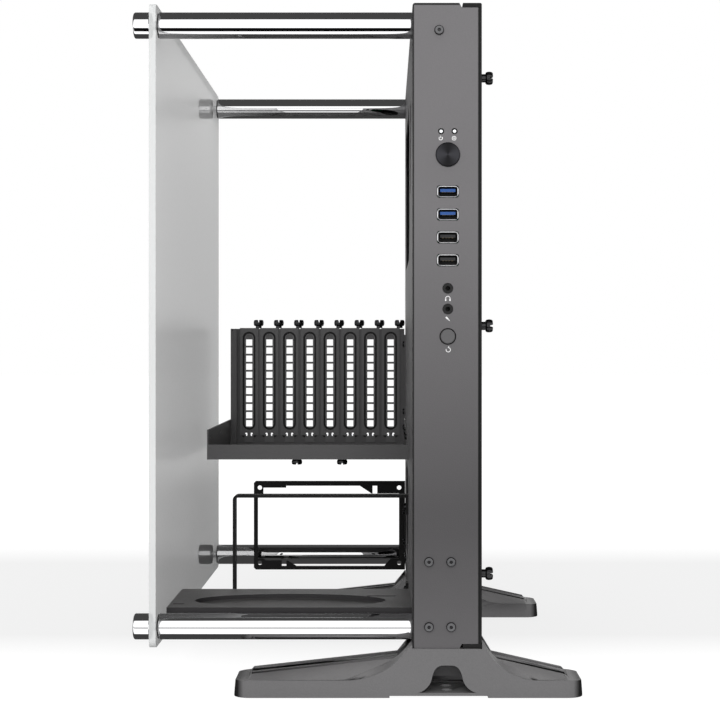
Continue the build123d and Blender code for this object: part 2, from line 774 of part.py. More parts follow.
# Shelf under the slots, folded up at the front and at both sides
shelf_depth = shelf_rear_y - shelf_front_y
shelf_mid_y = (shelf_front_y + shelf_rear_y) / 2
shelf_width = tray_face_x - shelf_left_x
shelf_mid_x = (tray_face_x + shelf_left_x) / 2
with BuildPart() as riser_shelf:
    with BuildSketch(Plane.XY.offset(shelf_bottom_z)):
        with Locations((shelf_mid_x, shelf_mid_y)):
            Rectangle(shelf_width, shelf_depth)
        with Locations([(x, shelf_screw_y) for x in shelf_screw_x]):
            Circle(shelf_screw_radius + thread_gap, mode=Mode.SUBTRACT)
    extrude(amount=sheet)
    with BuildSketch(plane_at_y(shelf_front_y)):
        with Locations((shelf_mid_x, shelf_bottom_z + shelf_lip_height / 2)):
            Rectangle(shelf_width, shelf_lip_height)
    extrude(amount=-sheet)
    for side_x in (shelf_left_x, tray_face_x - sheet):
        with BuildSketch(plane_at_x(side_x)):
            with Locations((shelf_mid_y, shelf_bottom_z + shelf_side_height / 2)):
                Rectangle(shelf_depth, shelf_side_height)
            with Locations(shelf_tray_screws):
                Circle(tray_screw_radius + fit_gap, mode=Mode.SUBTRACT)
        extrude(amount=sheet)
save(riser_shelf.part, "riser_shelf")

shelf_knob = knurled_screw(
    shelf_screw_head_radius, shelf_screw_head_height, slot_screw_neck_radius, fit_gap,
    shelf_screw_radius, shelf_screw_length,
)
with BuildPart() as shelf_thumbscrews:
    with Locations([Location((x, shelf_screw_y, shelf_bottom_z), (180, 0, 0)) for x in shelf_screw_x]):
        add(shelf_knob)
save(shelf_thumbscrews.part, "shelf_thumbscrews")

# Power supply frame: the window between its bars, tabs and notches, from its middle
half_width = supply_width / 2
half_height = supply_height / 2
top_inside = half_height - supply_top_bar
tab_inside = half_height - supply_tab_drop
notch_x = supply_notch_offset - supply_hole_x / 2
notch_half = supply_notch_width / 2
frame_window = [
    (-half_width + supply_left_bar, tab_inside),
    (-half_width + supply_tab, tab_inside),
    (-half_width + supply_tab, top_inside - supply_top_step),
    (-supply_top_left, top_inside - supply_top_step),
    (-supply_top_left, top_inside),
    (supply_top_right, top_inside),
    (notch_x - notch_half - supply_notch_flare, half_height - supply_upper_ledge),
    (notch_x - notch_half, half_height - supply_upper_ledge),
    (notch_x - notch_half, half_height - supply_top_bar),
    (notch_x + notch_half, half_height - supply_top_bar),
    (notch_x + notch_half, half_height - supply_upper_ledge),
    (half_width - supply_right_bar, half_height - supply_upper_ledge),
    (half_width - supply_right_bar, -half_height + supply_tab_rise),
    (supply_low_right, -half_height + supply_tab_rise),
    (supply_low_right - supply_low_slant, -half_height + supply_bottom_bar),
    (-supply_low_left, -half_height + supply_bottom_bar),
    (-notch_x + notch_half + supply_notch_flare, -half_height + supply_lower_ledge),
    (-notch_x + notch_half, -half_height + supply_lower_ledge),
    (-notch_x + notch_half, -half_height + supply_bottom_bar),
    (-notch_x - notch_half, -half_height + supply_bottom_bar),
    (-notch_x - notch_half, -half_height + supply_lower_ledge),
    (-half_width + supply_tab + supply_tab_slant, -half_height + supply_lower_ledge),
    (-half_width + supply_tab, -half_height + supply_tab_rise),
    (-half_width + supply_left_bar, -half_height + supply_tab_rise),
]
with BuildPart() as psu_frame:
    with BuildSketch(plane_at_y(supply_frame_y)) as frame_face:
        with Locations((supply_mid_x, supply_mid_z)):
            Rectangle(supply_width, supply_height)
        chamfer(frame_face.vertices().group_by(Axis.X)[0], supply_corner)
        with BuildLine():
            Polyline(*[(supply_mid_x + x, supply_mid_z + z) for x, z in frame_window], close=True)
        make_face(mode=Mode.SUBTRACT)
        with Locations((supply_mid_x, supply_mid_z)):
            with GridLocations(supply_hole_x, supply_hole_z, 2, 2):
                Circle(supply_hole_radius, mode=Mode.SUBTRACT)
    extrude(amount=-supply_sheet)
    with BuildSketch(plane_at_x(tray_face_x)):
        with Locations((supply_frame_y + supply_sheet - supply_flange_depth / 2, supply_mid_z)):
            Rectangle(supply_flange_depth, 2 * supply_flange_half)
        with Locations(supply_tray_screws):
            Circle(tray_screw_radius + fit_gap, mode=Mode.SUBTRACT)
    extrude(amount=-sheet)
save(psu_frame.part, "psu_frame")

# Strap, a flat bar bent round the power supply with two ends against the tray
strap_mid_z = (strap_low_z + strap_high_z) / 2
strap_height = strap_high_z - strap_low_z
strap_length = tray_face_x - strap_left_x
with BuildPart() as psu_strap:
    with BuildSketch(plane_at_y(strap_y - strap_width / 2)) as loop:
        with Locations(((strap_left_x + tray_face_x) / 2, strap_mid_z)):
            Rectangle(strap_length, strap_height)
        fillet(loop.vertices().group_by(Axis.X)[0], strap_corner)
    extrude(amount=-strap_width)
    with BuildSketch(plane_at_y(strap_y - strap_width / 2)) as loop_inside:
        with Locations(((strap_left_x + tray_face_x) / 2, strap_mid_z)):
            Rectangle(strap_length - 2 * strap_thickness, strap_height - 2 * strap_thickness)
        fillet(loop_inside.vertices().group_by(Axis.X)[0], strap_corner - strap_thickness)
        with Locations((tray_face_x, strap_mid_z)):
            Rectangle(4 * strap_thickness, strap_height - 2 * strap_flange)
    extrude(amount=-strap_width, mode=Mode.SUBTRACT)
    with BuildSketch(plane_at_x(tray_face_x)):
        with Locations(strap_tray_screws):
            Circle(tray_screw_radius + fit_gap)
    extrude(amount=-2 * strap_thickness, mode=Mode.SUBTRACT)
save(psu_strap.part, "psu_strap")

# Pressed plate with a folded front lip, a flange on the tray and an oval dish
pump_width = tray_face_x - pump_left_x
pump_mid_x = (tray_face_x + pump_left_x) / 2
pump_mid_y = pump_front_y + pump_depth / 2
with BuildPart() as pump_bracket:
    with BuildSketch(Plane.XY.offset(pump_top_z)) as plate:
        with Locations((pump_mid_x, pump_mid_y)):
            Rectangle(pump_width, pump_depth)
        fillet(plate.vertices().group_by(Axis.X)[0].sort_by(Axis.Y)[-1], pump_corner)
        for slot_x, slot_depth, slot_length, slot_width in pump_slots:
            with Locations((slot_x, pump_front_y + slot_depth)):
                SlotOverall(slot_length, slot_width, mode=Mode.SUBTRACT)
    extrude(amount=-pump_sheet)
    with BuildSketch(Plane.XY.offset(pump_top_z - pump_sheet)):
        with Locations((pump_dish_x, pump_dish_y)):
            Ellipse(pump_dish_length / 2 + pump_sheet, pump_dish_width / 2 + pump_sheet)
    extrude(amount=-pump_dish_depth)
    with BuildSketch(Plane.XY.offset(pump_top_z)):
        with Locations((pump_dish_x, pump_dish_y)):
            Ellipse(pump_dish_length / 2, pump_dish_width / 2)
    extrude(amount=-pump_dish_depth, mode=Mode.SUBTRACT)
    with BuildSketch(plane_at_y(pump_front_y)):
        with Locations((pump_mid_x, pump_top_z - pump_lip / 2)):
            Rectangle(pump_width, pump_lip)
    extrude(amount=-pump_sheet)
    with BuildSketch(plane_at_x(tray_face_x)):
        with Locations((pump_mid_y, pump_top_z - pump_flange / 2)):
            Rectangle(pump_depth, pump_flange)
        with Locations(pump_tray_screws):
            Circle(tray_screw_radius + fit_gap, mode=Mode.SUBTRACT)
    extrude(amount=-sheet)
save(pump_bracket.part, "pump_bracket")


# Cast feet: a front skin, a scooped face behind it and two ribs along each arm
def foot_profile(y, ridged):
    """Outline of the foot at this Y: the plain front skin, or the ridges behind the scoop."""
    left_ridge_low, left_ridge_high = foot_left_ridge
    right_ridge_low, right_ridge_high = foot_right_ridge
    saddle_left = tray_face_x - foot_saddle_gap
    saddle_right = cover_x + foot_saddle_gap
    left_horn = (saddle_left - foot_horn_width, body_bottom + foot_left_horn)
    right_horn = (saddle_right + foot_horn_width, body_bottom + foot_right_horn)
    left_step = (foot_left_step_x, foot_tip_z)
    right_step = (foot_right_step_x, foot_tip_z)
    flat_z = foot_tip_z + foot_flat_rise
    end_z = foot_tip_z - foot_tip_fall
    with BuildSketch(plane_at_y(y)) as profile:
        with BuildLine():
            Polyline((saddle_left, body_bottom + foot_left_horn), (saddle_left, body_bottom),
                     (saddle_right, body_bottom), (saddle_right, body_bottom + foot_right_horn), right_horn)
            Line(left_horn, (saddle_left, body_bottom + foot_left_horn))
            if ridged:
                Line(right_horn, right_ridge_high)
                Polyline(right_ridge_high, right_ridge_low, right_step)
                Polyline(left_step, left_ridge_low, left_ridge_high)
                Line(left_ridge_high, left_horn)
            else:
                TangentArc((foot_right_arc_x, foot_tip_z), right_horn, tangent=(-1, 0))
                Polyline((foot_right_arc_x, foot_tip_z), (right_ridge_low[0], flat_z), right_step)
                Polyline(left_step, (left_ridge_low[0], flat_z), (foot_left_arc_x, foot_tip_z))
                TangentArc((foot_left_arc_x, foot_tip_z), left_horn, tangent=(1, 0))
            Polyline(right_step, (foot_right_x - foot_draft, end_z), (foot_right_x, foot_base_z),
                     (foot_left_x, foot_base_z), (foot_left_x + foot_draft, end_z), left_step)
        make_face()
    return profile.sketch


def groove_band(ridge):
    """Corners of the strip just under a ridge line, as deep as the grooves."""
    (low_x, low_z), (high_x, high_z) = ridge
    return [
        (low_x, low_z + foot_groove_depth),
        (high_x, high_z + foot_groove_depth),
        (high_x, high_z - foot_groove_depth),
        (low_x, low_z - foot_groove_depth),
    ]


for foot_name, face_y in foot_faces.items():
    skin_y = face_y + foot_skin
    ridge_y = face_y + foot_scoop
    back_y = face_y + foot_depth
    with BuildPart() as foot:
        extrude(foot_profile(face_y, False), amount=-foot_skin)
        loft([foot_profile(skin_y, False), foot_profile(ridge_y, True)], ruled=True)
        extrude(foot_profile(ridge_y, True), amount=-(foot_depth - foot_scoop))
        for groove_from, groove_to in foot_grooves:
            for ridge in (foot_left_ridge, foot_right_ridge):
                with BuildSketch(plane_at_y(face_y + groove_from)):
                    with BuildLine():
                        Polyline(*groove_band(ridge), close=True)
                    make_face()
                extrude(amount=-(groove_to - groove_from), mode=Mode.SUBTRACT)
        with BuildSketch(Plane.XY):
            with Locations(((foot_left_x + foot_right_x) / 2, face_y + foot_depth / 2)):
                RectangleRounded(foot_right_x - foot_left_x, foot_depth, foot_corner_radius)
        extrude(amount=body_bottom + 2 * foot_right_horn, mode=Mode.INTERSECT)
        with BuildSketch(plane_at_y(face_y)):
            with BuildLine():
                Polyline((foot_arch_x - foot_arch_half_foot, foot_arch_low_z),
                         (foot_arch_x + foot_arch_half_foot, foot_arch_low_z))
                Spline((foot_arch_x + foot_arch_half_foot, foot_arch_low_z),
                       *[(foot_arch_x + half, z) for half, z in foot_arch_curve],
                       (foot_arch_x + foot_arch_half_top, foot_arch_high_z))
                Line((foot_arch_x + foot_arch_half_top, foot_arch_high_z),
                     (foot_arch_x - foot_arch_half_top, foot_arch_high_z))
                Spline((foot_arch_x - foot_arch_half_top, foot_arch_high_z),
                       *[(foot_arch_x - half, z) for half, z in foot_arch_curve[::-1]],
                       (foot_arch_x - foot_arch_half_foot, foot_arch_low_z))
            make_face()
        extrude(amount=-foot_arch_depth, mode=Mode.SUBTRACT)
        with BuildSketch(Plane.XY.offset(foot_base_z)):
            with Locations(((foot_middle_left_x + foot_middle_right_x) / 2, face_y + foot_depth / 2)):
                Rectangle(foot_middle_right_x - foot_middle_left_x, foot_depth)
        extrude(amount=foot_middle_rise, mode=Mode.SUBTRACT)
        with BuildSketch(Plane.XY.offset(foot_base_z)):
            with Locations((pad_left_x, face_y + foot_depth / 2), (pad_right_x, face_y + foot_depth / 2)):
                SlotOverall(pad_length, pad_width)
        extrude(amount=pad_recess, mode=Mode.SUBTRACT)
        with BuildSketch(Plane.XY.offset(foot_base_z)):
            with Locations([(foot_arch_x, face_y + y) for y in base_screw_y]):
                Circle(driver_hole_radius)
        extrude(amount=foot_arch_low_z, mode=Mode.SUBTRACT)
        with BuildSketch(Plane.XY.offset(foot_arch_high_z - fit_gap)):
            with Locations([(foot_arch_x, face_y + y) for y in base_screw_y]):
                Circle(base_screw_radius + fit_gap)
        extrude(amount=body_bottom - foot_arch_high_z + 1.0, mode=Mode.SUBTRACT)
    save(foot.part, foot_name)

with BuildPart() as foot_pads:
    with BuildSketch(Plane.XY):
        for face_y in foot_faces.values():
            with Locations((pad_left_x, face_y + foot_depth / 2), (pad_right_x, face_y + foot_depth / 2)):
                SlotOverall(pad_length - 2 * fit_gap, pad_width - 2 * fit_gap)
    extrude(amount=foot_base_z + pad_recess)
save(foot_pads.part, "foot_pads")

# Steel angles inside the body
angle_floor_z = body_bottom + sheet
angle_mid_x = angle_left_x + angle_width / 2
with BuildPart() as front_foot_upright:
    with BuildSketch(plane_at_y(wall_inner_y)):
        with Locations((angle_mid_x, angle_floor_z + angle_front_height / 2)):
            Rectangle(angle_width, angle_front_height)
        with Locations([(x, z) for x in foot_screw_x for z in foot_screw_z]):
            Circle(foot_screw_radius + thread_gap, mode=Mode.SUBTRACT)
    extrude(amount=-angle_thickness)
    with BuildSketch(Plane.XY.offset(angle_floor_z)):
        with Locations((angle_mid_x, wall_inner_y + angle_depth / 2)):
            Rectangle(angle_width, angle_depth)
        with Locations([(foot_arch_x, front_foot_y + y) for y in base_screw_y]):
            Circle(base_screw_radius + thread_gap, mode=Mode.SUBTRACT)
    extrude(amount=angle_thickness)
save(front_foot_upright.part, "front_foot_upright")

rear_angle_mid_y = rear_foot_y + foot_depth / 2
with BuildPart() as rear_foot_upright:
    with BuildSketch(plane_at_y(rear_angle_mid_y - angle_depth / 2)) as angle:
        with Locations((tray_inner_x, angle_floor_z)):
            Rectangle(angle_left_x + angle_width - tray_inner_x, angle_rear_height,
                      align=(Align.MIN, Align.MIN))
        fillet(angle.vertices().group_by(Axis.X)[0].sort_by(Axis.Y)[0], pan_corner_radius)
        with Locations((tray_inner_x + angle_thickness, angle_floor_z + angle_thickness)):
            Rectangle(angle_left_x + angle_width, angle_rear_height, align=(Align.MIN, Align.MIN),
                      mode=Mode.SUBTRACT)
    extrude(amount=-angle_depth)
    with BuildSketch(plane_at_x(tray_inner_x)):
        with Locations(angle_tray_screws):
            Circle(tray_screw_radius + thread_gap)
    extrude(amount=angle_thickness, mode=Mode.SUBTRACT)
    with BuildSketch(Plane.XY.offset(angle_floor_z)):
        with Locations([(foot_arch_x, rear_foot_y + y) for y in base_screw_y]):
            Circle(base_screw_radius + thread_gap)
    extrude(amount=angle_thickness, mode=Mode.SUBTRACT)
save(rear_foot_upright.part, "rear_foot_upright")

foot_screw = pan_screw(foot_screw_head_radius, foot_proud, foot_screw_radius, foot_screw_length)
with BuildPart() as foot_screws:
    with Locations([Location((x, front_y, z), (90, 0, 0)) for x in foot_screw_x for z in foot_screw_z]):
        add(foot_screw)
save(foot_screws.part, "foot_screws")

base_screw = pan_screw(base_screw_head_radius, foot_proud, base_screw_radius, base_screw_length)
with BuildPart() as foot_base_screws:
    with Locations([Location((foot_arch_x, face + y, foot_arch_high_z), (180, 0, 0))
                    for face in foot_faces.values() for y in base_screw_y]):
        add(base_screw)
save(foot_base_screws.part, "foot_base_screws")

# Pan-head screws on the tray face and at the top of the front wall
tray_screw = pan_screw(
    tray_screw_head_radius, tray_screw_head_height, tray_screw_radius, tray_screw_length
)
flange_places = [(tray_face_x - sheet, y, z) for y, z in flange_screws]
strap_places = [(tray_face_x - strap_thickness, y, z) for y, z in strap_tray_screws]
angle_places = [(tray_face_x, y, z) for y, z in angle_tray_screws]
with BuildPart() as tray_screws:
    with Locations([Location(place, (0, -90, 0)) for place in flange_places + strap_places + angle_places]):
        add(tray_screw)
save(tray_screws.part, "tray_screws")

wall_screw = pan_screw(foot_screw_head_radius, foot_proud, tray_screw_radius, tray_screw_length)
with BuildPart() as front_wall_screw:
    with Locations(Location((wall_screw_x, front_y, wall_screw_z), (90, 0, 0))):
        add(wall_screw)
save(front_wall_screw.part, "front_wall_screw")


# Buttons with their plungers and switches
def button_cap(radius, proud, flange_radius, z):
    """Round cap with a flange behind the wall and a square socket for its plunger."""
    flange_front = wall_inner_y + fit_gap / 2
    boss_end = board_front_y - switch_height - button_travel - fit_gap
    with BuildPart() as cap:
        with BuildSketch(plane_at_y(front_y - proud)):
            with Locations((io_x, z)):
                Circle(radius)
        extrude(amount=-(flange_front - front_y + proud))
        chamfer(cap.edges().sort_by(Axis.Y)[0], button_edge)
        with BuildSketch(plane_at_y(flange_front)):
            with Locations((io_x, z)):
                Circle(flange_radius)
        extrude(amount=-button_flange)
        with BuildSketch(plane_at_y(flange_front + button_flange)):
            with Locations((io_x, z)):
                Circle(button_boss_radius)
        extrude(amount=-(boss_end - flange_front - button_flange))
        with BuildSketch(plane_at_y(flange_front + button_flange / 2)):
            with Locations((io_x, z)):
                Rectangle(plunger_size, plunger_size)
        extrude(amount=-(boss_end - flange_front), mode=Mode.SUBTRACT)
    return cap.part


def button_plunger(z):
    """Square shaft from the cap's socket into the switch."""
    start = wall_inner_y + fit_gap / 2 + button_flange / 2
    end = board_front_y - switch_height + button_travel
    with BuildPart() as plunger:
        with BuildSketch(plane_at_y(start)):
            with Locations((io_x, z)):
                Rectangle(plunger_size, plunger_size)
        extrude(amount=-(end - start))
    return plunger.part


def button_switch(size, z):
    """Switch body on the board with a square well for the plunger."""
    with BuildPart() as switch:
        with BuildSketch(plane_at_y(board_front_y)):
            with Locations((io_x, z)):
                Rectangle(size, size)
        extrude(amount=switch_height)
        with BuildSketch(plane_at_y(board_front_y - switch_height)):
            with Locations((io_x, z)):
                Rectangle(plunger_size + 2 * fit_gap, plunger_size + 2 * fit_gap)
        extrude(amount=-(2 * button_travel + fit_gap), mode=Mode.SUBTRACT)
    return switch.part


save(button_cap(power_radius, power_proud, power_flange_radius, power_z), "power_button")
save(button_plunger(power_z), "power_plunger")
save(button_switch(power_switch_size, power_z), "power_switch")
save(button_cap(reset_radius, reset_proud, reset_flange_radius, reset_z), "reset_button")
save(button_plunger(reset_z), "reset_plunger")
save(button_switch(reset_switch_size, reset_z), "reset_switch")

# Data ports: a drawn shell with a flared rim, and a tongue inside it
for port_name, port_z in zip(port_names, port_heights):
    with BuildPart() as shell:
        with BuildSketch(plane_at_y(front_y)):
            with Locations((io_x, port_z)):
                RectangleRounded(port_width, port_height, port_corner)
        extrude(amount=-port_rim)
        with BuildSketch(plane_at_y(front_y)):
            with Locations((io_x, port_z)):
                RectangleRounded(port_shell_width, port_shell_height, port_shell_corner)
        extrude(amount=-(board_front_y - front_y))
        with BuildSketch(plane_at_y(front_y)):
            with Locations((io_x, port_z)):
                Rectangle(port_shell_width - 2 * port_wall, port_shell_height - 2 * port_wall)
        extrude(amount=-(board_front_y - front_y - port_wall), mode=Mode.SUBTRACT)
    save(shell.part, f"port_shell_{port_name}")
    with BuildPart() as tongue:
        with BuildSketch(plane_at_y(front_y + port_tongue_inset)):
            with Locations((io_x, port_z + port_tongue_rise)):
                Rectangle(port_tongue_width, port_tongue_height)
        extrude(amount=-(board_front_y - front_y - port_tongue_inset - port_wall))
    save(tongue.part, f"port_tongue_{port_name}")

for jack_name, jack_z in jack_heights.items():
    with BuildPart() as jack:
        with BuildSketch(plane_at_y(front_y)):
            with Locations((io_x, jack_z)):
                Circle(jack_radius)
        extrude(amount=-(sheet + fit_gap))
        with BuildSketch(plane_at_y(wall_inner_y + fit_gap)):
            with Locations((io_x, jack_z)):
                Rectangle(jack_body, jack_body)
        extrude(amount=-(board_gap - fit_gap))
        with BuildSketch(plane_at_y(front_y)):
            with Locations((io_x, jack_z)):
                Circle(jack_bore_radius)
        extrude(amount=-jack_bore_depth, mode=Mode.SUBTRACT)
    save(jack.part, jack_name)

with BuildPart() as light_guides:
    with BuildSketch(plane_at_y(front_y - fit_gap)):
        with Locations(light_places):
            Circle(light_radius)
    extrude(amount=-(board_front_y - front_y + fit_gap))
    chamfer(light_guides.edges().group_by(Axis.Y)[0], fit_gap)
save(light_guides.part, "light_guides")

# Circuit board on its spacers
with BuildPart() as io_board:
    with BuildSketch(plane_at_y(board_front_y)):
        with Locations((io_x, (board_low_z + board_high_z) / 2)):
            Rectangle(board_width, board_high_z - board_low_z)
        with Locations(spacer_places):
            Circle(spacer_bore_radius + fit_gap, mode=Mode.SUBTRACT)
    extrude(amount=-board_thickness)
save(io_board.part, "io_board")

with BuildPart() as io_spacers:
    with BuildSketch(plane_at_y(wall_inner_y)):
        with Locations(spacer_places):
            RegularPolygon(spacer_radius, 6)
            Circle(spacer_bore_radius, mode=Mode.SUBTRACT)
    extrude(amount=-board_gap)
save(io_spacers.part, "io_spacers")

io_screw = pan_screw(spacer_radius, board_thickness, spacer_bore_radius - thread_gap, spacer_screw_length)
with BuildPart() as io_screws:
    board_back_y = board_front_y + board_thickness
    with Locations([Location((x, board_back_y, z), (-90, 0, 0)) for x, z in spacer_places]):
        add(io_screw)
save(io_screws.part, "io_screws")
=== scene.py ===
"""Open air test bench: an upright chassis on two feet with a clear side panel on chrome rods.

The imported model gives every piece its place. This file dresses it: finishes for the folded
sheets, turned and knurled pieces, port rims, lights and signs, and a plain studio round them.
All sizes are metres unless a name says millimetres.
"""

import logging
import math
from collections.abc import Callable, Sequence
from dataclasses import dataclass, field
from enum import Enum

import bmesh
import bpy
import numpy as np
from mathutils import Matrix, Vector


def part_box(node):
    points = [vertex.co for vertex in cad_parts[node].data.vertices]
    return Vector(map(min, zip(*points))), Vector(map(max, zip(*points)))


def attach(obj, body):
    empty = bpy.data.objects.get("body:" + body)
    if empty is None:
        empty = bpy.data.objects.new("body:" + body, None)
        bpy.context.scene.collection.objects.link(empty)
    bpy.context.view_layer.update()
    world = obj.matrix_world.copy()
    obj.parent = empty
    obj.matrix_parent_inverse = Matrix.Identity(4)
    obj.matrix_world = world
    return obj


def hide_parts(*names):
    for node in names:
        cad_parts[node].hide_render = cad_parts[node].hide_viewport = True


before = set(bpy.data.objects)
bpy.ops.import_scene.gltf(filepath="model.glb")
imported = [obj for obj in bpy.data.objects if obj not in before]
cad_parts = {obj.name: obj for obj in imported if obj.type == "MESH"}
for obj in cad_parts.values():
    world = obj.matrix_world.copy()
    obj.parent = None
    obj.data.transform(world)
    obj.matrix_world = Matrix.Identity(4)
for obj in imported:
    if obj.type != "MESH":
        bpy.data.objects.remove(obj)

LOG = logging.getLogger("bench")
Array = np.ndarray
Colour = tuple[float, float, float]
Corner = tuple[float, float, float]
BODY = "chassis"
# Points nearer than this are one point.
WELD = 0.000005
# Faces that meet at less than this are one flat face.
FLAT_DEGREES = 0.6
# A distance past every side of the chassis.
FAR = 1.0
# A ring's border fades over one part in this many of a metre.
RING_EDGE = 2500.0


class Side(Enum):
    """Direction that a turned piece points along."""

    LEFT = (-1.0, 0.0, 0.0)
    RIGHT = (1.0, 0.0, 0.0)
    FRONT = (0.0, -1.0, 0.0)
    UP = (0.0, 0.0, 1.0)
    DOWN = (0.0, 0.0, -1.0)

    def turn(self) -> Array:
        """Return the 3 by 3 matrix whose third column is this direction.

        Returns:
            The matrix, which turns the Z axis to this direction.
        """
        along = np.array(self.value)
        across = np.array([0.0, 0.0, 1.0]) if abs(along[2]) < 0.5 else np.array([1.0, 0.0, 0.0])
        first = np.cross(across, along)
        return np.stack([first, np.cross(along, first), along], axis=1)


class Coat(Enum):
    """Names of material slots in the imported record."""

    BRACKET = "bracket_paint"
    FOOT = "foot_paint"
    SCREW = "black_screws"
    CHROME = "polished_chrome"
    INNER = "inner_plastic"
    PORT = "port_steel"
    LIGHT = "light_clear"
    BRASS = "spacer_brass"


@dataclass(frozen=True)
class Shape:
    """Vertices and faces of a mesh before it becomes a piece.

    Args:
        points: Vertex places, one row each.
        faces: Vertex numbers of each face.
    """

    points: Array
    faces: list[list[int]]

    def placed(self, origin: Sequence[float], side: Side) -> "Shape":
        """Return the shape turned so that its Z runs along side, then moved to origin."""
        return Shape(self.points @ side.turn().T + np.array(origin), self.faces)


def joined(shapes: Sequence[Shape]) -> Shape:
    """Join shapes into one.

    Args:
        shapes: The shapes, in order.

    Returns:
        One shape, with each face's numbers moved past the vertices before it.
    """
    starts = np.cumsum([0] + [len(shape.points) for shape in shapes[:-1]])
    faces: list[list[int]] = []
    for shape, start in zip(shapes, starts):
        faces.extend([[int(start) + number for number in face] for face in shape.faces])
    return Shape(np.concatenate([shape.points for shape in shapes]), faces)


def skin(grid: Array, wrap_rows: bool = False, wrap_columns: bool = True) -> Shape:
    """Cover a grid of points with quads.

    Quad (i, j) joins points (i, j), (i, j+1), (i+1, j+1) and (i+1, j), and a wrapped direction
    joins its last line to its first.

    Args:
        grid: Points, shaped rows by columns by 3.
        wrap_rows: Whether the last row joins the first.
        wrap_columns: Whether the last column joins the first.

    Returns:
        The skinned shape, open at unwrapped borders.
    """
    rows, columns = grid.shape[:2]
    row = np.arange(rows if wrap_rows else rows - 1)[:, None]
    column = np.arange(columns if wrap_columns else columns - 1)[None, :]
    below, beside = (row + 1) % rows, (column + 1) % columns
    corners = [row * columns + column, row * columns + beside,
               below * columns + beside, below * columns + column]
    faces = np.stack(np.broadcast_arrays(*corners), axis=-1).reshape(-1, 4)
    return Shape(grid.reshape(-1, 3), faces.tolist())


def capped(shape: Shape, columns: int) -> Shape:
    """Close both ends of a skinned tube with one flat face each.

    Args:
        shape: A tube whose first and last rows of points are its ends.
        columns: Points in each row.

    Returns:
        The closed shape.
    """
    total = len(shape.points)
    ends = [list(range(columns))[::-1], list(range(total - columns, total))]
    return Shape(shape.points, shape.faces + ends)


def turned(
    profile: Sequence[tuple[float, float]],
    turns: int = 64,
    ripple: Callable[[Array, Array], Array] | None = None,
) -> Shape:
    """Turn a profile round Z.

    A point is (r cos a, r sin a, z), where the profile gives z and r, and a runs once round.
    The ripple multiplies r by 1 + ripple(z, a). Both ends of the profile lie on the axis.

    Args:
        profile: Pairs of z and r from one end to the other, with r above 0.
        turns: Points in one ring.
        ripple: Relative change of radius for each z and a.

    Returns:
        A closed shape, with a flat disc at each end.
    """
    along, radius = np.array(profile, float).T
    angle = np.linspace(0.0, 2.0 * math.pi, turns, endpoint=False)
    reach = radius[:, None] * np.ones_like(angle)[None, :]
    if ripple is not None:
        reach = reach * (1.0 + ripple(along[:, None], angle[None, :]))
    height = along[:, None] * np.ones_like(angle)[None, :]
    grid = np.stack([reach * np.cos(angle), reach * np.sin(angle), height], axis=-1)
    return capped(skin(grid), turns)


def arc(centre: tuple[float, float], radius: float, start: float, end: float, steps: int) -> Array:
    """Return points on an arc: the centre plus radius times (cos a, sin a).

    Args:
        centre: Middle of the arc.
        radius: Its radius.
        start: First angle in degrees, counted from the first axis.
        end: Last angle in degrees.
        steps: Number of points.

    Returns:
        The points, one row of two numbers each.
    """
    angle = np.radians(np.linspace(start, end, steps))
    across, up = radius * np.cos(angle), radius * np.sin(angle)
    return np.stack([centre[0] + across, centre[1] + up], axis=-1)


def level_sheet(low: Corner, high: Corner) -> Shape:
    """Return a level rectangle at the height of its lowest corner.

    Args:
        low: Its corner with the lowest X and Y.
        high: Its corner with the highest X and Y.

    Returns:
        One face that looks up.
    """
    z = low[2]
    front = [[low[0], low[1], z], [high[0], low[1], z]]
    back = [[low[0], high[1], z], [high[0], high[1], z]]
    return skin(np.array([front, back]), wrap_columns=False)


def rounded_loop(half_width: float, half_height: float, corner: float, steps: int = 8) -> Array:
    """Return a closed rectangle with round corners, as four quarter arcs joined by lines.

    Args:
        half_width: Half of its width.
        half_height: Half of its height.
        corner: Radius of its corners.
        steps: Points on each corner.

    Returns:
        Its points, one row of two numbers each.
    """
    corner = min(corner, half_width, half_height)
    places = [(1, 1, 0.0), (-1, 1, 90.0), (-1, -1, 180.0), (1, -1, 270.0)]
    arcs = [
        arc((sx * (half_width - corner), sz * (half_height - corner)),
            corner, start, start + 90.0, steps)
        for sx, sz, start in places
    ]
    return np.concatenate(arcs)


def stroke(path: Array, width: float, thickness: float, closed: bool = False) -> Shape:
    """Carry a flat rectangle along a path in the front plane.

    Each path point gets its two borders at plus and minus half the width along the path's
    normal, in front and behind. The path's first number is X and its second is Z.

    Args:
        path: Points of the middle line.
        width: Width of the line.
        thickness: Depth of the line along Y.
        closed: Whether the path joins its start.

    Returns:
        A closed strip centred on Y = 0.
    """
    if closed:
        run = np.roll(path, -1, axis=0) - np.roll(path, 1, axis=0)
    else:
        run = np.gradient(path, axis=0)
    run = run / np.linalg.norm(run, axis=1, keepdims=True)
    normal = np.stack([-run[:, 1], run[:, 0]], axis=-1) * width / 2
    left, right = path + normal, path - normal
    deep = np.full(len(path), thickness / 2)
    rows = [
        np.stack([edge[:, 0], sign * deep, edge[:, 1]], axis=-1)
        for edge, sign in ((left, -1), (right, -1), (right, 1), (left, 1))
    ]
    grid = np.stack(rows, axis=1)
    shape = skin(grid, wrap_rows=closed)
    return shape if closed else capped(shape, 4)


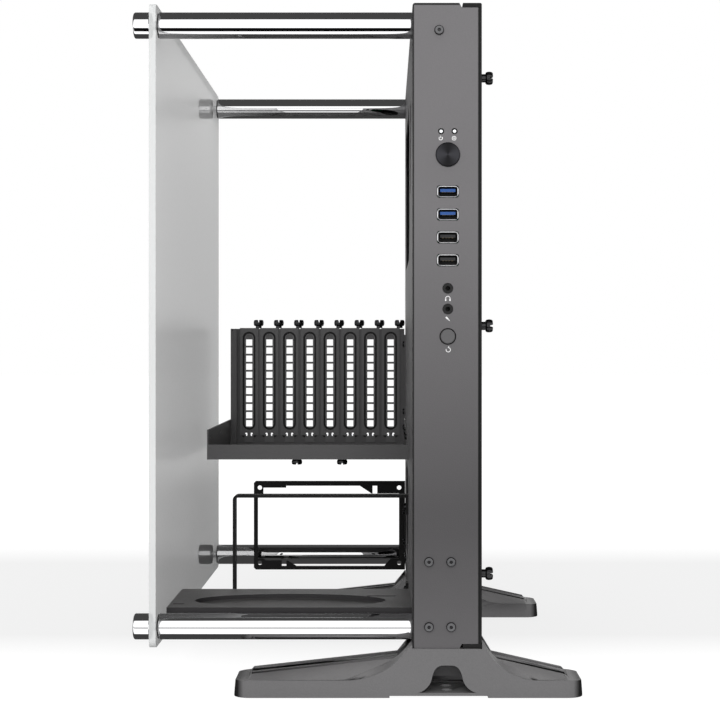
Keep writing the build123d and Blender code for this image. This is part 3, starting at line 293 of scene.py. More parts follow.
class Groups:
    """Shader node groups that several finishes share, each built once."""

    def __init__(self) -> None:
        """Build the groups."""
        self.grain = self._grain()
        self.dust = self._dust()
        self.rings = self._rings()
        self.scratches = self._scratches()
        self.zone = self._zone()
        self.ring = self._ring()

    @staticmethod
    def _tree(name: str, inputs: dict[str, str], outputs: dict[str, str]) -> bpy.types.NodeTree:
        """Return an empty group with these sockets, given as name to socket type.

        Args:
            name: Name of the group.
            inputs: Socket type of each input.
            outputs: Socket type of each output.

        Returns:
            The group, with its input and output nodes.
        """
        tree = bpy.data.node_groups.new(name, "ShaderNodeTree")
        for label, kind in inputs.items():
            tree.interface.new_socket(label, in_out="INPUT", socket_type=kind)
        for label, kind in outputs.items():
            tree.interface.new_socket(label, in_out="OUTPUT", socket_type=kind)
        tree.nodes.new("NodeGroupInput")
        tree.nodes.new("NodeGroupOutput")
        return tree

    def _grain(self) -> bpy.types.NodeTree:
        """Powder coat: fine bumps, and slow mottling of colour and roughness.

        Returns:
            The group.
        """
        tree = self._tree(
            "paint_grain",
            {"Vector": "NodeSocketVector", "Colour": "NodeSocketColor", "Scale": "NodeSocketFloat",
             "Mottle": "NodeSocketFloat", "Roughness": "NodeSocketFloat"},
            {"Colour": "NodeSocketColor", "Roughness": "NodeSocketFloat",
             "Height": "NodeSocketFloat"},
        )
        nodes, links = tree.nodes, tree.links
        source, sink = nodes["Group Input"], nodes["Group Output"]
        fine = nodes.new("ShaderNodeTexNoise")
        fine.inputs["Detail"].default_value = 2.0
        slow = nodes.new("ShaderNodeTexNoise")
        slow.inputs["Scale"].default_value = 9.0
        slow.inputs["Detail"].default_value = 3.0
        links.new(source.outputs["Vector"], fine.inputs["Vector"])
        links.new(source.outputs["Scale"], fine.inputs["Scale"])
        links.new(source.outputs["Vector"], slow.inputs["Vector"])
        blend = maths(tree, "ADD", fine.outputs["Fac"], slow.outputs["Fac"])
        centred = maths(tree, "SUBTRACT", blend, 1.0)
        change = maths(tree, "MULTIPLY", centred, source.outputs["Mottle"])
        gain = maths(tree, "ADD", change, 1.0)
        tint = nodes.new("ShaderNodeVectorMath")
        tint.operation = "SCALE"
        links.new(source.outputs["Colour"], tint.inputs[0])
        links.new(gain, tint.inputs["Scale"])
        links.new(tint.outputs[0], sink.inputs["Colour"])
        rough = maths(tree, "MULTIPLY", source.outputs["Roughness"], gain)
        links.new(rough, sink.inputs["Roughness"])
        links.new(fine.outputs["Fac"], sink.inputs["Height"])
        return tree

    def _dust(self) -> bpy.types.NodeTree:
        """Light dust that lies on faces that look up, broken by noise.

        Returns:
            The group.
        """
        tree = self._tree(
            "upward_dust",
            {"Vector": "NodeSocketVector", "Colour": "NodeSocketColor", "Dust": "NodeSocketColor",
             "Amount": "NodeSocketFloat"},
            {"Colour": "NodeSocketColor"},
        )
        nodes, links = tree.nodes, tree.links
        source, sink = nodes["Group Input"], nodes["Group Output"]
        geometry = nodes.new("ShaderNodeNewGeometry")
        split = nodes.new("ShaderNodeSeparateXYZ")
        links.new(geometry.outputs["Normal"], split.inputs[0])
        noise = nodes.new("ShaderNodeTexNoise")
        noise.inputs["Scale"].default_value = 35.0
        noise.inputs["Detail"].default_value = 4.0
        links.new(source.outputs["Vector"], noise.inputs["Vector"])
        up = maths(tree, "MAXIMUM", split.outputs["Z"], 0.0)
        speckled = maths(tree, "MULTIPLY", up, noise.outputs["Fac"])
        amount = maths(tree, "MULTIPLY", speckled, source.outputs["Amount"])
        mix = nodes.new("ShaderNodeMix")
        mix.data_type = "RGBA"
        links.new(amount, mix.inputs[0])
        links.new(source.outputs["Colour"], mix.inputs[6])
        links.new(source.outputs["Dust"], mix.inputs[7])
        links.new(mix.outputs[2], sink.inputs["Colour"])
        return tree

    def _rings(self) -> bpy.types.NodeTree:
        """Tool rings round the Y axis: a wave of the distance from it, and a sweep round it that
        carries a painted highlight.

        Returns:
            The group.
        """
        tree = self._tree(
            "turning_rings",
            {"Vector": "NodeSocketVector", "Per metre": "NodeSocketFloat"},
            {"Height": "NodeSocketFloat", "Sweep": "NodeSocketFloat"},
        )
        nodes, links = tree.nodes, tree.links
        source, sink = nodes["Group Input"], nodes["Group Output"]
        split = nodes.new("ShaderNodeSeparateXYZ")
        links.new(source.outputs["Vector"], split.inputs[0])
        square_x = maths(tree, "MULTIPLY", split.outputs["X"], split.outputs["X"])
        square_z = maths(tree, "MULTIPLY", split.outputs["Z"], split.outputs["Z"])
        reach = maths(tree, "SQRT", maths(tree, "ADD", square_x, square_z), 0.0)
        wave = maths(tree, "SINE", maths(tree, "MULTIPLY", reach, source.outputs["Per metre"]), 0.0)
        links.new(wave, sink.inputs["Height"])
        angle = maths(tree, "ARCTAN2", split.outputs["Z"], split.outputs["X"])
        highlight_sweep = maths(tree, "COSINE", maths(tree, "MULTIPLY", angle, 2.0), 0.0)
        half = maths(tree, "MULTIPLY_ADD", highlight_sweep, 0.5)
        half.node.inputs[2].default_value = 0.5
        links.new(half, sink.inputs["Sweep"])
        return tree

    def _zone(self) -> bpy.types.NodeTree:
        """Mask of a box: 1 inside it, falling to 0 over the softness at its walls.

        Returns:
            The group.
        """
        tree = self._tree(
            "box_zone",
            {"Vector": "NodeSocketVector", "Low": "NodeSocketVector", "High": "NodeSocketVector",
             "Softness": "NodeSocketFloat"},
            {"Mask": "NodeSocketFloat"},
        )
        source, sink = tree.nodes["Group Input"], tree.nodes["Group Output"]
        gain = maths(tree, "DIVIDE", 1.0, source.outputs["Softness"])
        sides = []
        for first, second in (("Vector", "Low"), ("High", "Vector")):
            room = vectors(tree, "SUBTRACT", source.outputs[first], source.outputs[second])
            full = vectors(tree, "MINIMUM", vectors(tree, "SCALE", room, gain), (1.0, 1.0, 1.0))
            sides.append(vectors(tree, "MAXIMUM", full, (0.0, 0.0, 0.0)))
        split = tree.nodes.new("ShaderNodeSeparateXYZ")
        tree.links.new(vectors(tree, "MULTIPLY", sides[0], sides[1]), split.inputs[0])
        flat = maths(tree, "MULTIPLY", split.outputs["X"], split.outputs["Y"])
        tree.links.new(maths(tree, "MULTIPLY", flat, split.outputs["Z"]), sink.inputs["Mask"])
        return tree

    def _ring(self) -> bpy.types.NodeTree:
        """Mask of a long ring round each slot, for painted shade, highlight and shadow.

        It is 1 where the distance from a middle line lies between the inner and outer radius,
        and the line repeats along X.

        Returns:
            The group.
        """
        tree = self._tree(
            "slot_ring",
            {"Vector": "NodeSocketVector", "First x": "NodeSocketFloat", "Pitch": "NodeSocketFloat",
             "Middle z": "NodeSocketFloat", "Half line": "NodeSocketFloat",
             "Inner": "NodeSocketFloat", "Outer": "NodeSocketFloat"},
            {"Mask": "NodeSocketFloat"},
        )
        source, sink = tree.nodes["Group Input"], tree.nodes["Group Output"]
        split = tree.nodes.new("ShaderNodeSeparateXYZ")
        tree.links.new(source.outputs["Vector"], split.inputs[0])
        shifted = maths(tree, "SUBTRACT", split.outputs["X"], source.outputs["First x"])
        step = maths(tree, "DIVIDE", shifted, source.outputs["Pitch"])
        off = maths(tree, "SUBTRACT", step, maths(tree, "ROUND", step))
        across = maths(tree, "MULTIPLY", off, source.outputs["Pitch"])
        rise = maths(tree, "SUBTRACT", split.outputs["Z"], source.outputs["Middle z"])
        height = maths(tree, "ABSOLUTE", rise)
        rest = maths(tree, "SUBTRACT", height, source.outputs["Half line"])
        past = maths(tree, "MAXIMUM", rest, 0.0)
        square = maths(tree, "ADD", maths(tree, "MULTIPLY", across, across),
                       maths(tree, "MULTIPLY", past, past))
        reach = maths(tree, "SQRT", square)
        beyond = maths(tree, "MULTIPLY",
                       maths(tree, "SUBTRACT", reach, source.outputs["Inner"]), RING_EDGE)
        within = maths(tree, "MULTIPLY",
                       maths(tree, "SUBTRACT", source.outputs["Outer"], reach), RING_EDGE)
        mask = maths(tree, "MULTIPLY", clamped(tree, beyond), clamped(tree, within))
        tree.links.new(mask, sink.inputs["Mask"])
        return tree

    def _scratches(self) -> bpy.types.NodeTree:
        """Faint handling marks: stretched noise that raises the roughness in thin lines.

        Returns:
            The group.
        """
        tree = self._tree(
            "handling_marks",
            {"Vector": "NodeSocketVector", "Roughness": "NodeSocketFloat",
             "Amount": "NodeSocketFloat"},
            {"Roughness": "NodeSocketFloat", "Mask": "NodeSocketFloat"},
        )
        nodes, links = tree.nodes, tree.links
        source, sink = nodes["Group Input"], nodes["Group Output"]
        stretch = nodes.new("ShaderNodeMapping")
        stretch.inputs["Scale"].default_value = (40.0, 240.0, 240.0)
        noise = nodes.new("ShaderNodeTexNoise")
        noise.inputs["Scale"].default_value = 1.0
        noise.inputs["Detail"].default_value = 5.0
        links.new(source.outputs["Vector"], stretch.inputs["Vector"])
        links.new(stretch.outputs[0], noise.inputs["Vector"])
        ramp = nodes.new("ShaderNodeMapRange")
        ramp.inputs["From Min"].default_value = 0.55
        ramp.inputs["From Max"].default_value = 0.75
        links.new(noise.outputs["Fac"], ramp.inputs["Value"])
        extra = maths(tree, "MULTIPLY", ramp.outputs[0], source.outputs["Amount"])
        links.new(maths(tree, "ADD", extra, source.outputs["Roughness"]), sink.inputs["Roughness"])
        links.new(ramp.outputs[0], sink.inputs["Mask"])
        return tree


def clamped(tree: bpy.types.NodeTree, value: bpy.types.NodeSocket) -> bpy.types.NodeSocket:
    """Return a socket's value kept between 0 and 1."""
    return maths(tree, "MAXIMUM", maths(tree, "MINIMUM", value, 1.0), 0.0)


def vectors(tree: bpy.types.NodeTree, operation: str, first: object,
            second: object) -> bpy.types.NodeSocket:
    """Add a Vector Math node to a tree.

    Args:
        tree: The tree.
        operation: Blender's name of the operation.
        first: A socket or a triple.
        second: A socket, a triple, or a number for SCALE.

    Returns:
        The node's output socket.
    """
    node = tree.nodes.new("ShaderNodeVectorMath")
    node.operation = operation
    places = (0, "Scale") if operation == "SCALE" else (0, 1)
    for slot, value in zip(places, (first, second)):
        if isinstance(value, bpy.types.NodeSocket):
            tree.links.new(value, node.inputs[slot])
        else:
            node.inputs[slot].default_value = value
    return node.outputs[0]


def maths(tree: bpy.types.NodeTree, operation: str, first: object,
          second: object = None) -> bpy.types.NodeSocket:
    """Add a Math node to a tree.

    Args:
        tree: The tree.
        operation: Blender's name of the operation.
        first: A socket or a number.
        second: A socket or a number.

    Returns:
        The node's output socket.
    """
    node = tree.nodes.new("ShaderNodeMath")
    node.operation = operation
    for slot, value in enumerate((first, second)):
        if isinstance(value, bpy.types.NodeSocket):
            tree.links.new(value, node.inputs[slot])
        elif value is not None:
            node.inputs[slot].default_value = value
    return node.outputs[0]


@dataclass(frozen=True)
class Finish:
    """What every finish has: a name, a base colour and a roughness.

    Args:
        name: Name of the material.
        colour: Linear base colour.
        roughness: Roughness of the surface.
        gloss: Level of mirror gloss, where 0.5 is plain plastic.
    """

    name: str
    colour: Colour
    roughness: float
    gloss: float = 0.2

    def start(self) -> tuple[bpy.types.Material, bpy.types.ShaderNode, bpy.types.NodeSocket]:
        """Return a new material, its shader, and its Object coordinates.

        Returns:
            The material, its shader and the socket of its Object coordinates.
        """
        material = bpy.data.materials.new(self.name)
        material.use_nodes = True
        material.diffuse_color = (*self.colour, 1.0)
        shader = material.node_tree.nodes["Principled BSDF"]
        shader.inputs["Base Color"].default_value = (*self.colour, 1.0)
        shader.inputs["Roughness"].default_value = self.roughness
        shader.inputs["Specular IOR Level"].default_value = self.gloss
        place = material.node_tree.nodes.new("ShaderNodeTexCoord")
        return material, shader, place.outputs["Object"]

    @staticmethod
    def group(material: bpy.types.Material, tree: bpy.types.NodeTree,
              **values: object) -> bpy.types.ShaderNode:
        """Add a shared group to a material, with its inputs set by name or linked.

        Args:
            material: The material.
            tree: The shared group.
            values: Number, colour or socket for each input.

        Returns:
            The group's node.
        """
        node = material.node_tree.nodes.new("ShaderNodeGroup")
        node.node_tree = tree
        for label, value in values.items():
            socket = node.inputs[label.replace("_", " ").capitalize()]
            if isinstance(value, bpy.types.NodeSocket):
                material.node_tree.links.new(value, socket)
            else:
                socket.default_value = value
        return node

    @staticmethod
    def bump(material: bpy.types.Material, shader: bpy.types.ShaderNode,
             height: bpy.types.NodeSocket, depth: float, strength: float = 1.0) -> None:
        """Feed a height, in units of depth, to the shader's normal.

        Args:
            material: The material.
            shader: Its shader.
            height: Socket of the height.
            depth: Height of a whole unit.
            strength: Strength of the bump.
        """
        node = material.node_tree.nodes.new("ShaderNodeBump")
        node.inputs["Strength"].default_value = strength
        node.inputs["Distance"].default_value = depth
        material.node_tree.links.new(height, node.inputs["Height"])
        material.node_tree.links.new(node.outputs[0], shader.inputs["Normal"])

    def material(self, groups: Groups) -> bpy.types.Material:
        """Return the finish as a plain material."""
        return self.start()[0]


@dataclass(frozen=True)
class PowderCoat(Finish):
    """Baked powder paint with a fine grain, a slow mottle, a little dust on top and painted shade
    in given boxes.

    Args:
        grain: Bumps per metre.
        depth: Height of a bump.
        mottle: Relative change of colour.
        dust: Amount of dust on faces that look up.
        painted_shade_zones: Boxes of painted shade, each with its lowest corner, highest corner,
        softness and share of the colour that is left.
    """

    grain: float = 1400.0
    depth: float = 0.00008
    mottle: float = 0.16
    dust: float = 0.10
    painted_shade_zones: tuple[tuple[Corner, Corner, float, float], ...] = ()

    def shade(self, material: bpy.types.Material, colour: bpy.types.NodeSocket,
              mask: bpy.types.NodeSocket, left: float) -> bpy.types.NodeSocket:
        """Scale a colour by 1 + mask times (left - 1).

        Args:
            material: The material.
            colour: Socket of the colour.
            mask: Socket of the mask.
            left: Share of the colour where the mask is 1.

        Returns:
            Socket of the new colour.
        """
        tree = material.node_tree
        gain = maths(tree, "MULTIPLY_ADD", mask, left - 1.0)
        gain.node.inputs[2].default_value = 1.0
        return vectors(tree, "SCALE", colour, gain)

    def with_painted_shade(self, material: bpy.types.Material, groups: Groups, place: bpy.types.NodeSocket,
                 colour: bpy.types.NodeSocket) -> bpy.types.NodeSocket:
        """Return the colour with the painted shade of every zone.

        Args:
            material: The material.
            groups: Shared shader groups.
            place: Socket of the Object coordinates.
            colour: Socket of the colour.

        Returns:
            Socket of the new colour.
        """
        # Each zone is painted shade: the colour is scaled down inside its box.
        for low, high, softness, left in self.painted_shade_zones:
            zone = self.group(material, groups.zone, vector=place, low=low, high=high,
                              softness=softness)
            colour = self.shade(material, colour, zone.outputs["Mask"], left)
        return colour

    def material(self, groups: Groups) -> bpy.types.Material:
        """Return the painted material.

        Args:
            groups: Shared shader groups.

        Returns:
            The new material.
        """
        material, shader, place = self.start()
        paint = self.group(material, groups.grain, vector=place, colour=(*self.colour, 1.0),
                           scale=self.grain, mottle=self.mottle, roughness=self.roughness)
        shaded = self.with_painted_shade(material, groups, place, paint.outputs["Colour"])
        dusty = self.group(material, groups.dust, vector=place, colour=shaded,
                           dust=(0.45, 0.44, 0.42, 1.0), amount=self.dust)
        links = material.node_tree.links
        links.new(dusty.outputs["Colour"], shader.inputs["Base Color"])
        links.new(paint.outputs["Roughness"], shader.inputs["Roughness"])
        self.bump(material, shader, paint.outputs["Height"], self.depth)
        return material


@dataclass(frozen=True)
class PressedCoat(PowderCoat):
    """Powder paint with painted shade in a ring round each slot's pressed dish, a painted highlight
    line inside it and painted shadow between covers.

    Args:
        first_x: Middle of the first slot.
        pitch: Distance from slot to slot.
        middle_z: Height of the rings' middle.
        half_line: Half of the ring's straight length.
        inner: Inner radius of the ring.
        outer: Outer radius of the ring.
        gap: Half of the painted shadow in the gap between two slots.
    """

    first_x: float = 0.0
    pitch: float = 0.02
    middle_z: float = 0.2
    half_line: float = 0.04
    inner: float = 0.0037
    outer: float = 0.0059
    gap: float = 0.0012

    def with_painted_shade(self, material: bpy.types.Material, groups: Groups, place: bpy.types.NodeSocket,
                 colour: bpy.types.NodeSocket) -> bpy.types.NodeSocket:
        """Return the colour with painted shade rings, a painted highlight line inside each, and
        painted shadow in the gaps between covers.

        Args:
            material: The material.
            groups: Shared shader groups.
            place: Socket of the Object coordinates.
            colour: Socket of the colour.

        Returns:
            Socket of the new colour.
        """
        line = self.outer - self.inner
        # Painted shade in each ring, a painted highlight line just inside it, and painted shadow in
        # the gap between covers.
        rows = (
            (self.first_x, self.half_line, self.inner, self.outer, 0.04),
            (self.first_x, self.half_line, self.inner - line * 0.3, self.inner, 2.1),
            (self.first_x + self.pitch / 2, 1.0, -1.0, self.gap, 0.05),
        )
        for first_x, half_line, inner, outer, left in rows:
            ring = self.group(material, groups.ring, vector=place, first_x=first_x,
                              pitch=self.pitch, middle_z=self.middle_z, half_line=half_line,
                              inner=inner, outer=outer)
            colour = self.shade(material, colour, ring.outputs["Mask"], left)
        return super().with_painted_shade(material, groups, place, colour)


@dataclass(frozen=True)
class BareMetal(Finish):
    """Metal without paint: chrome, nickel, steel or brass, with faint handling marks.

    Args:
        marks: How much the marks raise the roughness.
    """

    marks: float = 0.05

    def material(self, groups: Groups) -> bpy.types.Material:
        """Return the metal material.

        Args:
            groups: Shared shader groups.

        Returns:
            The new material.
        """
        material, shader, place = self.start()
        shader.inputs["Metallic"].default_value = 1.0
        worn = self.group(material, groups.scratches, vector=place, roughness=self.roughness,
                          amount=self.marks)
        material.node_tree.links.new(worn.outputs["Roughness"], shader.inputs["Roughness"])
        return material


@dataclass(frozen=True)
class Moulded(Finish):
    """Moulded plastic or rubber with a soft grain.

    Args:
        grain: Bumps per metre.
        depth: Height of a bump.
        coat: Weight of a clear gloss coat.
        mottle: Relative change of colour.
    """

    grain: float = 900.0
    depth: float = 0.00003
    coat: float = 0.0
    mottle: float = 0.12

    def material(self, groups: Groups) -> bpy.types.Material:
        """Return the moulded material.

        Args:
            groups: Shared shader groups.

        Returns:
            The new material.
        """
        material, shader, place = self.start()
        shader.inputs["Coat Weight"].default_value = self.coat
        shader.inputs["Coat Roughness"].default_value = 0.08
        body = self.group(material, groups.grain, vector=place, colour=(*self.colour, 1.0),
                          scale=self.grain, mottle=self.mottle, roughness=self.roughness)
        links = material.node_tree.links
        links.new(body.outputs["Colour"], shader.inputs["Base Color"])
        links.new(body.outputs["Roughness"], shader.inputs["Roughness"])
        self.bump(material, shader, body.outputs["Height"], self.depth)
        return material


@dataclass(frozen=True)
class TurnedFace(Finish):
    """A turned cap, with tool rings round its middle and a painted highlight that sweeps round it.

    Args:
        centre: Middle of the rings.
        rings: Rings per metre, in radians.
        metal: How metallic the cap is.
    """

    centre: tuple[float, float, float] = (0.0, 0.0, 0.0)
    rings: float = 14000.0
    metal: float = 0.7

    def material(self, groups: Groups) -> bpy.types.Material:
        """Return the turned material.

        Args:
            groups: Shared shader groups.

        Returns:
            The new material.
        """
        material, shader, place = self.start()
        nodes, links = material.node_tree.nodes, material.node_tree.links
        shader.inputs["Metallic"].default_value = self.metal
        move = nodes.new("ShaderNodeMapping")
        move.inputs["Location"].default_value = tuple(-value for value in self.centre)
        links.new(place, move.inputs["Vector"])
        rings = self.group(material, groups.rings, vector=move.outputs[0], per_metre=self.rings)
        # Painted highlight: the colour brightens up to 4.5 times where the sweep is high, twice
        # round the cap.
        shade = nodes.new("ShaderNodeMix")
        shade.data_type = "RGBA"
        shade.inputs[6].default_value = (*self.colour, 1.0)
        shade.inputs[7].default_value = (*(min(1.0, value * 4.5) for value in self.colour), 1.0)
        links.new(rings.outputs["Sweep"], shade.inputs[0])
        links.new(shade.outputs[2], shader.inputs["Base Color"])
        self.bump(material, shader, rings.outputs["Height"], 0.00002, 0.5)
        return material


@dataclass(frozen=True)
class ClearSheet(Finish):
    """Clear sheet: see-through when faced, with painted reflection that makes it greyer at a slant
    and lower down, and painted highlight on its borders.

    Args:
        faced: How much a face covers what is behind it, seen straight on.
        slanted: How much more it covers at a slant, as painted reflection.
        low_reflection_colour: Painted reflection colour at the lower end.
        edge_highlight_colour: Painted highlight colour of the borders.
        edge_cover: How much a border covers what is behind it.
        low: Height of the lower end.
        high: Height of the upper end.
        marks: How much handling marks raise the roughness.
    """

    faced: float = 0.08
    slanted: float = 0.62
    low_reflection_colour: Colour = (0.26, 0.26, 0.26)
    edge_highlight_colour: Colour = (0.56, 0.57, 0.57)
    edge_cover: float = 0.72
    low: float = 0.0
    high: float = 1.0
    marks: float = 0.05

    def material(self, groups: Groups) -> bpy.types.Material:
        """Return the clear material. A border is where the surface doesn't look along X.

        Args:
            groups: Shared shader groups.

        Returns:
            The new material.
        """
        material, shader, place = self.start()
        tree = material.node_tree
        split = tree.nodes.new("ShaderNodeSeparateXYZ")
        tree.links.new(place, split.inputs[0])
        above = maths(tree, "SUBTRACT", split.outputs["Z"], self.low)
        rise = maths(tree, "DIVIDE", above, self.high - self.low)
        geometry = tree.nodes.new("ShaderNodeNewGeometry")
        facing = tree.nodes.new("ShaderNodeSeparateXYZ")
        tree.links.new(geometry.outputs["True Normal"], facing.inputs[0])
        border = maths(tree, "LESS_THAN", maths(tree, "ABSOLUTE", facing.outputs["X"]), 0.5)
        # Painted reflection: the colour darkens towards the lower end.
        tint = self.mixed(tree, clamped(tree, rise), self.low_reflection_colour, self.colour)
        # Painted highlight: the borders take a paler colour.
        rim = self.mixed(tree, border, tint, self.edge_highlight_colour)
        tree.links.new(rim, shader.inputs["Base Color"])
        # Painted reflection: the sheet covers more of what is behind it at a slant.
        weight = tree.nodes.new("ShaderNodeLayerWeight")
        slant = maths(tree, "POWER", weight.outputs["Facing"], 3.0)
        cover = maths(tree, "MULTIPLY_ADD", slant, self.slanted)
        cover.node.inputs[2].default_value = self.faced
        held = maths(tree, "MULTIPLY", cover, maths(tree, "SUBTRACT", 1.0, border))
        edge = maths(tree, "MULTIPLY_ADD", border, self.edge_cover)
        tree.links.new(held, edge.node.inputs[2])
        tree.links.new(edge, shader.inputs["Alpha"])
        worn = self.group(material, groups.scratches, vector=place, roughness=self.roughness,
                          amount=self.marks)
        tree.links.new(worn.outputs["Roughness"], shader.inputs["Roughness"])
        return material

    @staticmethod
    def mixed(tree: bpy.types.NodeTree, share: bpy.types.NodeSocket, first: object, second: object
              ) -> bpy.types.NodeSocket:
        """Mix two colours, each a socket or a triple, by a share.

        Args:
            tree: The tree.
            share: Socket of the second colour's share.
            first: The first colour.
            second: The second colour.

        Returns:
            Socket of the mixed colour.
        """
        mix = tree.nodes.new("ShaderNodeMix")
        mix.data_type = "RGBA"
        tree.links.new(share, mix.inputs[0])
        for slot, value in ((6, first), (7, second)):
            if isinstance(value, bpy.types.NodeSocket):
                tree.links.new(value, mix.inputs[slot])
            else:
                mix.inputs[slot].default_value = (*value, 1.0)
        return mix.outputs[2]


@dataclass(frozen=True)
class Printed(Finish):
    """Printed sign: matt ink with a faint uneven cover."""

    def material(self, groups: Groups) -> bpy.types.Material:
        """Return the ink.

        Args:
            groups: Shared shader groups.

        Returns:
            The new material.
        """
        material, shader, place = self.start()
        ink = self.group(material, groups.grain, vector=place, colour=(*self.colour, 1.0),
                         scale=2500.0, mottle=0.08, roughness=self.roughness)
        material.node_tree.links.new(ink.outputs["Colour"], shader.inputs["Base Color"])
        return material


@dataclass(frozen=True)
class Lens(Finish):
    """Moulded light lens, a little lit from behind.

    Args:
        painted_glow: Strength of its painted glow.
    """

    painted_glow: float = 0.15

    def material(self, groups: Groups) -> bpy.types.Material:
        """Return the lens.

        Args:
            groups: Shared shader groups.

        Returns:
            The new material.
        """
        material, shader, place = self.start()
        shader.inputs["Coat Weight"].default_value = 1.0
        # Painted glow: the lens gives off a little light of its own colour.
        shader.inputs["Emission Strength"].default_value = self.painted_glow
        haze = self.group(material, groups.grain, vector=place, colour=(*self.colour, 1.0),
                          scale=600.0, mottle=0.1, roughness=self.roughness)
        links = material.node_tree.links
        links.new(haze.outputs["Colour"], shader.inputs["Base Color"])
        links.new(haze.outputs["Colour"], shader.inputs["Emission Color"])
        return material


@dataclass(frozen=True)
class Lacquered(Finish):
    """Circuit board: solder mask over a net of copper tracks.

    Args:
        track: Colour over a track.
        pitch: Tracks per metre.
    """

    track: Colour = (0.02, 0.16, 0.07)
    pitch: float = 380.0

    def material(self, groups: Groups) -> bpy.types.Material:
        """Return the lacquered board.

        Args:
            groups: Shared shader groups; not used.

        Returns:
            The new material.
        """
        material, shader, place = self.start()
        tree = material.node_tree
        brick = tree.nodes.new("ShaderNodeTexBrick")
        brick.inputs["Scale"].default_value = self.pitch
        brick.inputs["Mortar Size"].default_value = 0.06
        brick.inputs["Color1"].default_value = (*self.colour, 1.0)
        brick.inputs["Color2"].default_value = (*(value * 1.15 for value in self.colour), 1.0)
        brick.inputs["Mortar"].default_value = (*self.track, 1.0)
        turn = tree.nodes.new("ShaderNodeMapping")
        turn.inputs["Rotation"].default_value = (math.pi / 2, 0.0, 0.0)
        tree.links.new(place, turn.inputs["Vector"])
        tree.links.new(turn.outputs[0], brick.inputs["Vector"])
        tree.links.new(brick.outputs["Color"], shader.inputs["Base Color"])
        self.bump(material, shader, brick.outputs["Fac"], 0.00004)
        return material


@dataclass
class Workshop:
    """Makes pieces and finishes, and keeps a note of them.

    Args:
        groups: Shared shader groups.
        made: Materials by finish name.
        notes: One line for each piece.
    """

    groups: Groups = field(default_factory=Groups)
    made: dict[str, bpy.types.Material] = field(default_factory=dict)
    notes: list[str] = field(default_factory=list)

    def paint(self, finish: Finish) -> bpy.types.Material:
        """Return the finish's material, made on first use.

        Args:
            finish: The finish.

        Returns:
            Its material.
        """
        if finish.name not in self.made:
            self.made[finish.name] = finish.material(self.groups)
        return self.made[finish.name]

    def dress(self, node: str, finish: Finish) -> None:
        """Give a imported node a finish.

        Args:
            node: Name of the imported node.
            finish: Its finish.
        """
        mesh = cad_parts[node].data
        mesh.materials.clear()
        mesh.materials.append(self.paint(finish))
        self.notes.append(f"{node} as {finish.name}")

    def piece(self, name: str, shape: Shape, finish: Finish, body: str,
              instead: Sequence[str] = (), smooth: float = 30.0) -> bpy.types.Object:
        """Make a piece from a shape.

        Args:
            name: Name of the piece.
            shape: Its points and faces.
            finish: Its finish.
            body: Body that it rides on.
            instead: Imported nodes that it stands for.
            smooth: Faces that meet at less than this many degrees shade as one.

        Returns:
            The new object.
        """
        mesh = bpy.data.meshes.new(name)
        mesh.from_pydata(shape.points.tolist(), [], shape.faces)
        return self._finished(name, mesh, finish, body, instead, smooth)

    def softened(self, node: str, finish: Finish, body: str, width: float,
                 segments: int = 2, angle: float = 28.0) -> bpy.types.Object:
        """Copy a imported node, join its loose triangles and round its edges.

        Args:
            node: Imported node, which the copy stands for.
            finish: Finish of the copy.
            body: Body that it rides on.
            width: Width of the rounding.
            segments: Faces across the rounding.
            angle: Edges sharper than this many degrees are rounded.

        Returns:
            The new object.
        """
        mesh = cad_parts[node].data.copy()
        work = bmesh.new()
        work.from_mesh(mesh)
        bmesh.ops.remove_doubles(work, verts=work.verts, dist=WELD)
        bmesh.ops.dissolve_limit(work, angle_limit=math.radians(FLAT_DEGREES),
                                 verts=work.verts, edges=work.edges)
        work.to_mesh(mesh)
        work.free()
        made = self._finished(f"{node}_soft", mesh, finish, body, (node,), 40.0, False)
        bevel = made.modifiers.new("round", "BEVEL")
        bevel.width = width
        bevel.segments = segments
        bevel.limit_method = "ANGLE"
        bevel.angle_limit = math.radians(angle)
        bevel.use_clamp_overlap = True
        bevel.harden_normals = True
        return made

    def _finished(self, name: str, mesh: bpy.types.Mesh, finish: Finish, body: str,
                  instead: Sequence[str], smooth: float,
                  recalculate: bool = True) -> bpy.types.Object:
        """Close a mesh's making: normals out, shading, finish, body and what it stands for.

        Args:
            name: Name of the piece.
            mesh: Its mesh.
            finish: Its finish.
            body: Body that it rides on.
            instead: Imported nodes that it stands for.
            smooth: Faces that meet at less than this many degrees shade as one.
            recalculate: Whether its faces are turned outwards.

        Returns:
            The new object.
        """
        if recalculate:
            work = bmesh.new()
            work.from_mesh(mesh)
            bmesh.ops.recalc_face_normals(work, faces=work.faces)
            work.to_mesh(mesh)
            work.free()
        mesh.shade_smooth()
        mesh.set_sharp_from_angle(angle=math.radians(smooth))
        mesh.materials.clear()
        mesh.materials.append(self.paint(finish))
        made = bpy.data.objects.new(name, mesh)
        bpy.context.scene.collection.objects.link(made)
        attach(made, body)
        if instead:
            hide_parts(*instead)
        self.notes.append(f"{name} as {finish.name}")
        return made


WALL_COLOUR = (0.118, 0.114, 0.118)
COVER_COLOUR = (0.060, 0.058, 0.060)
PRESS_COLOUR = (0.066, 0.065, 0.066)
CAST_COLOUR = (0.112, 0.110, 0.112)
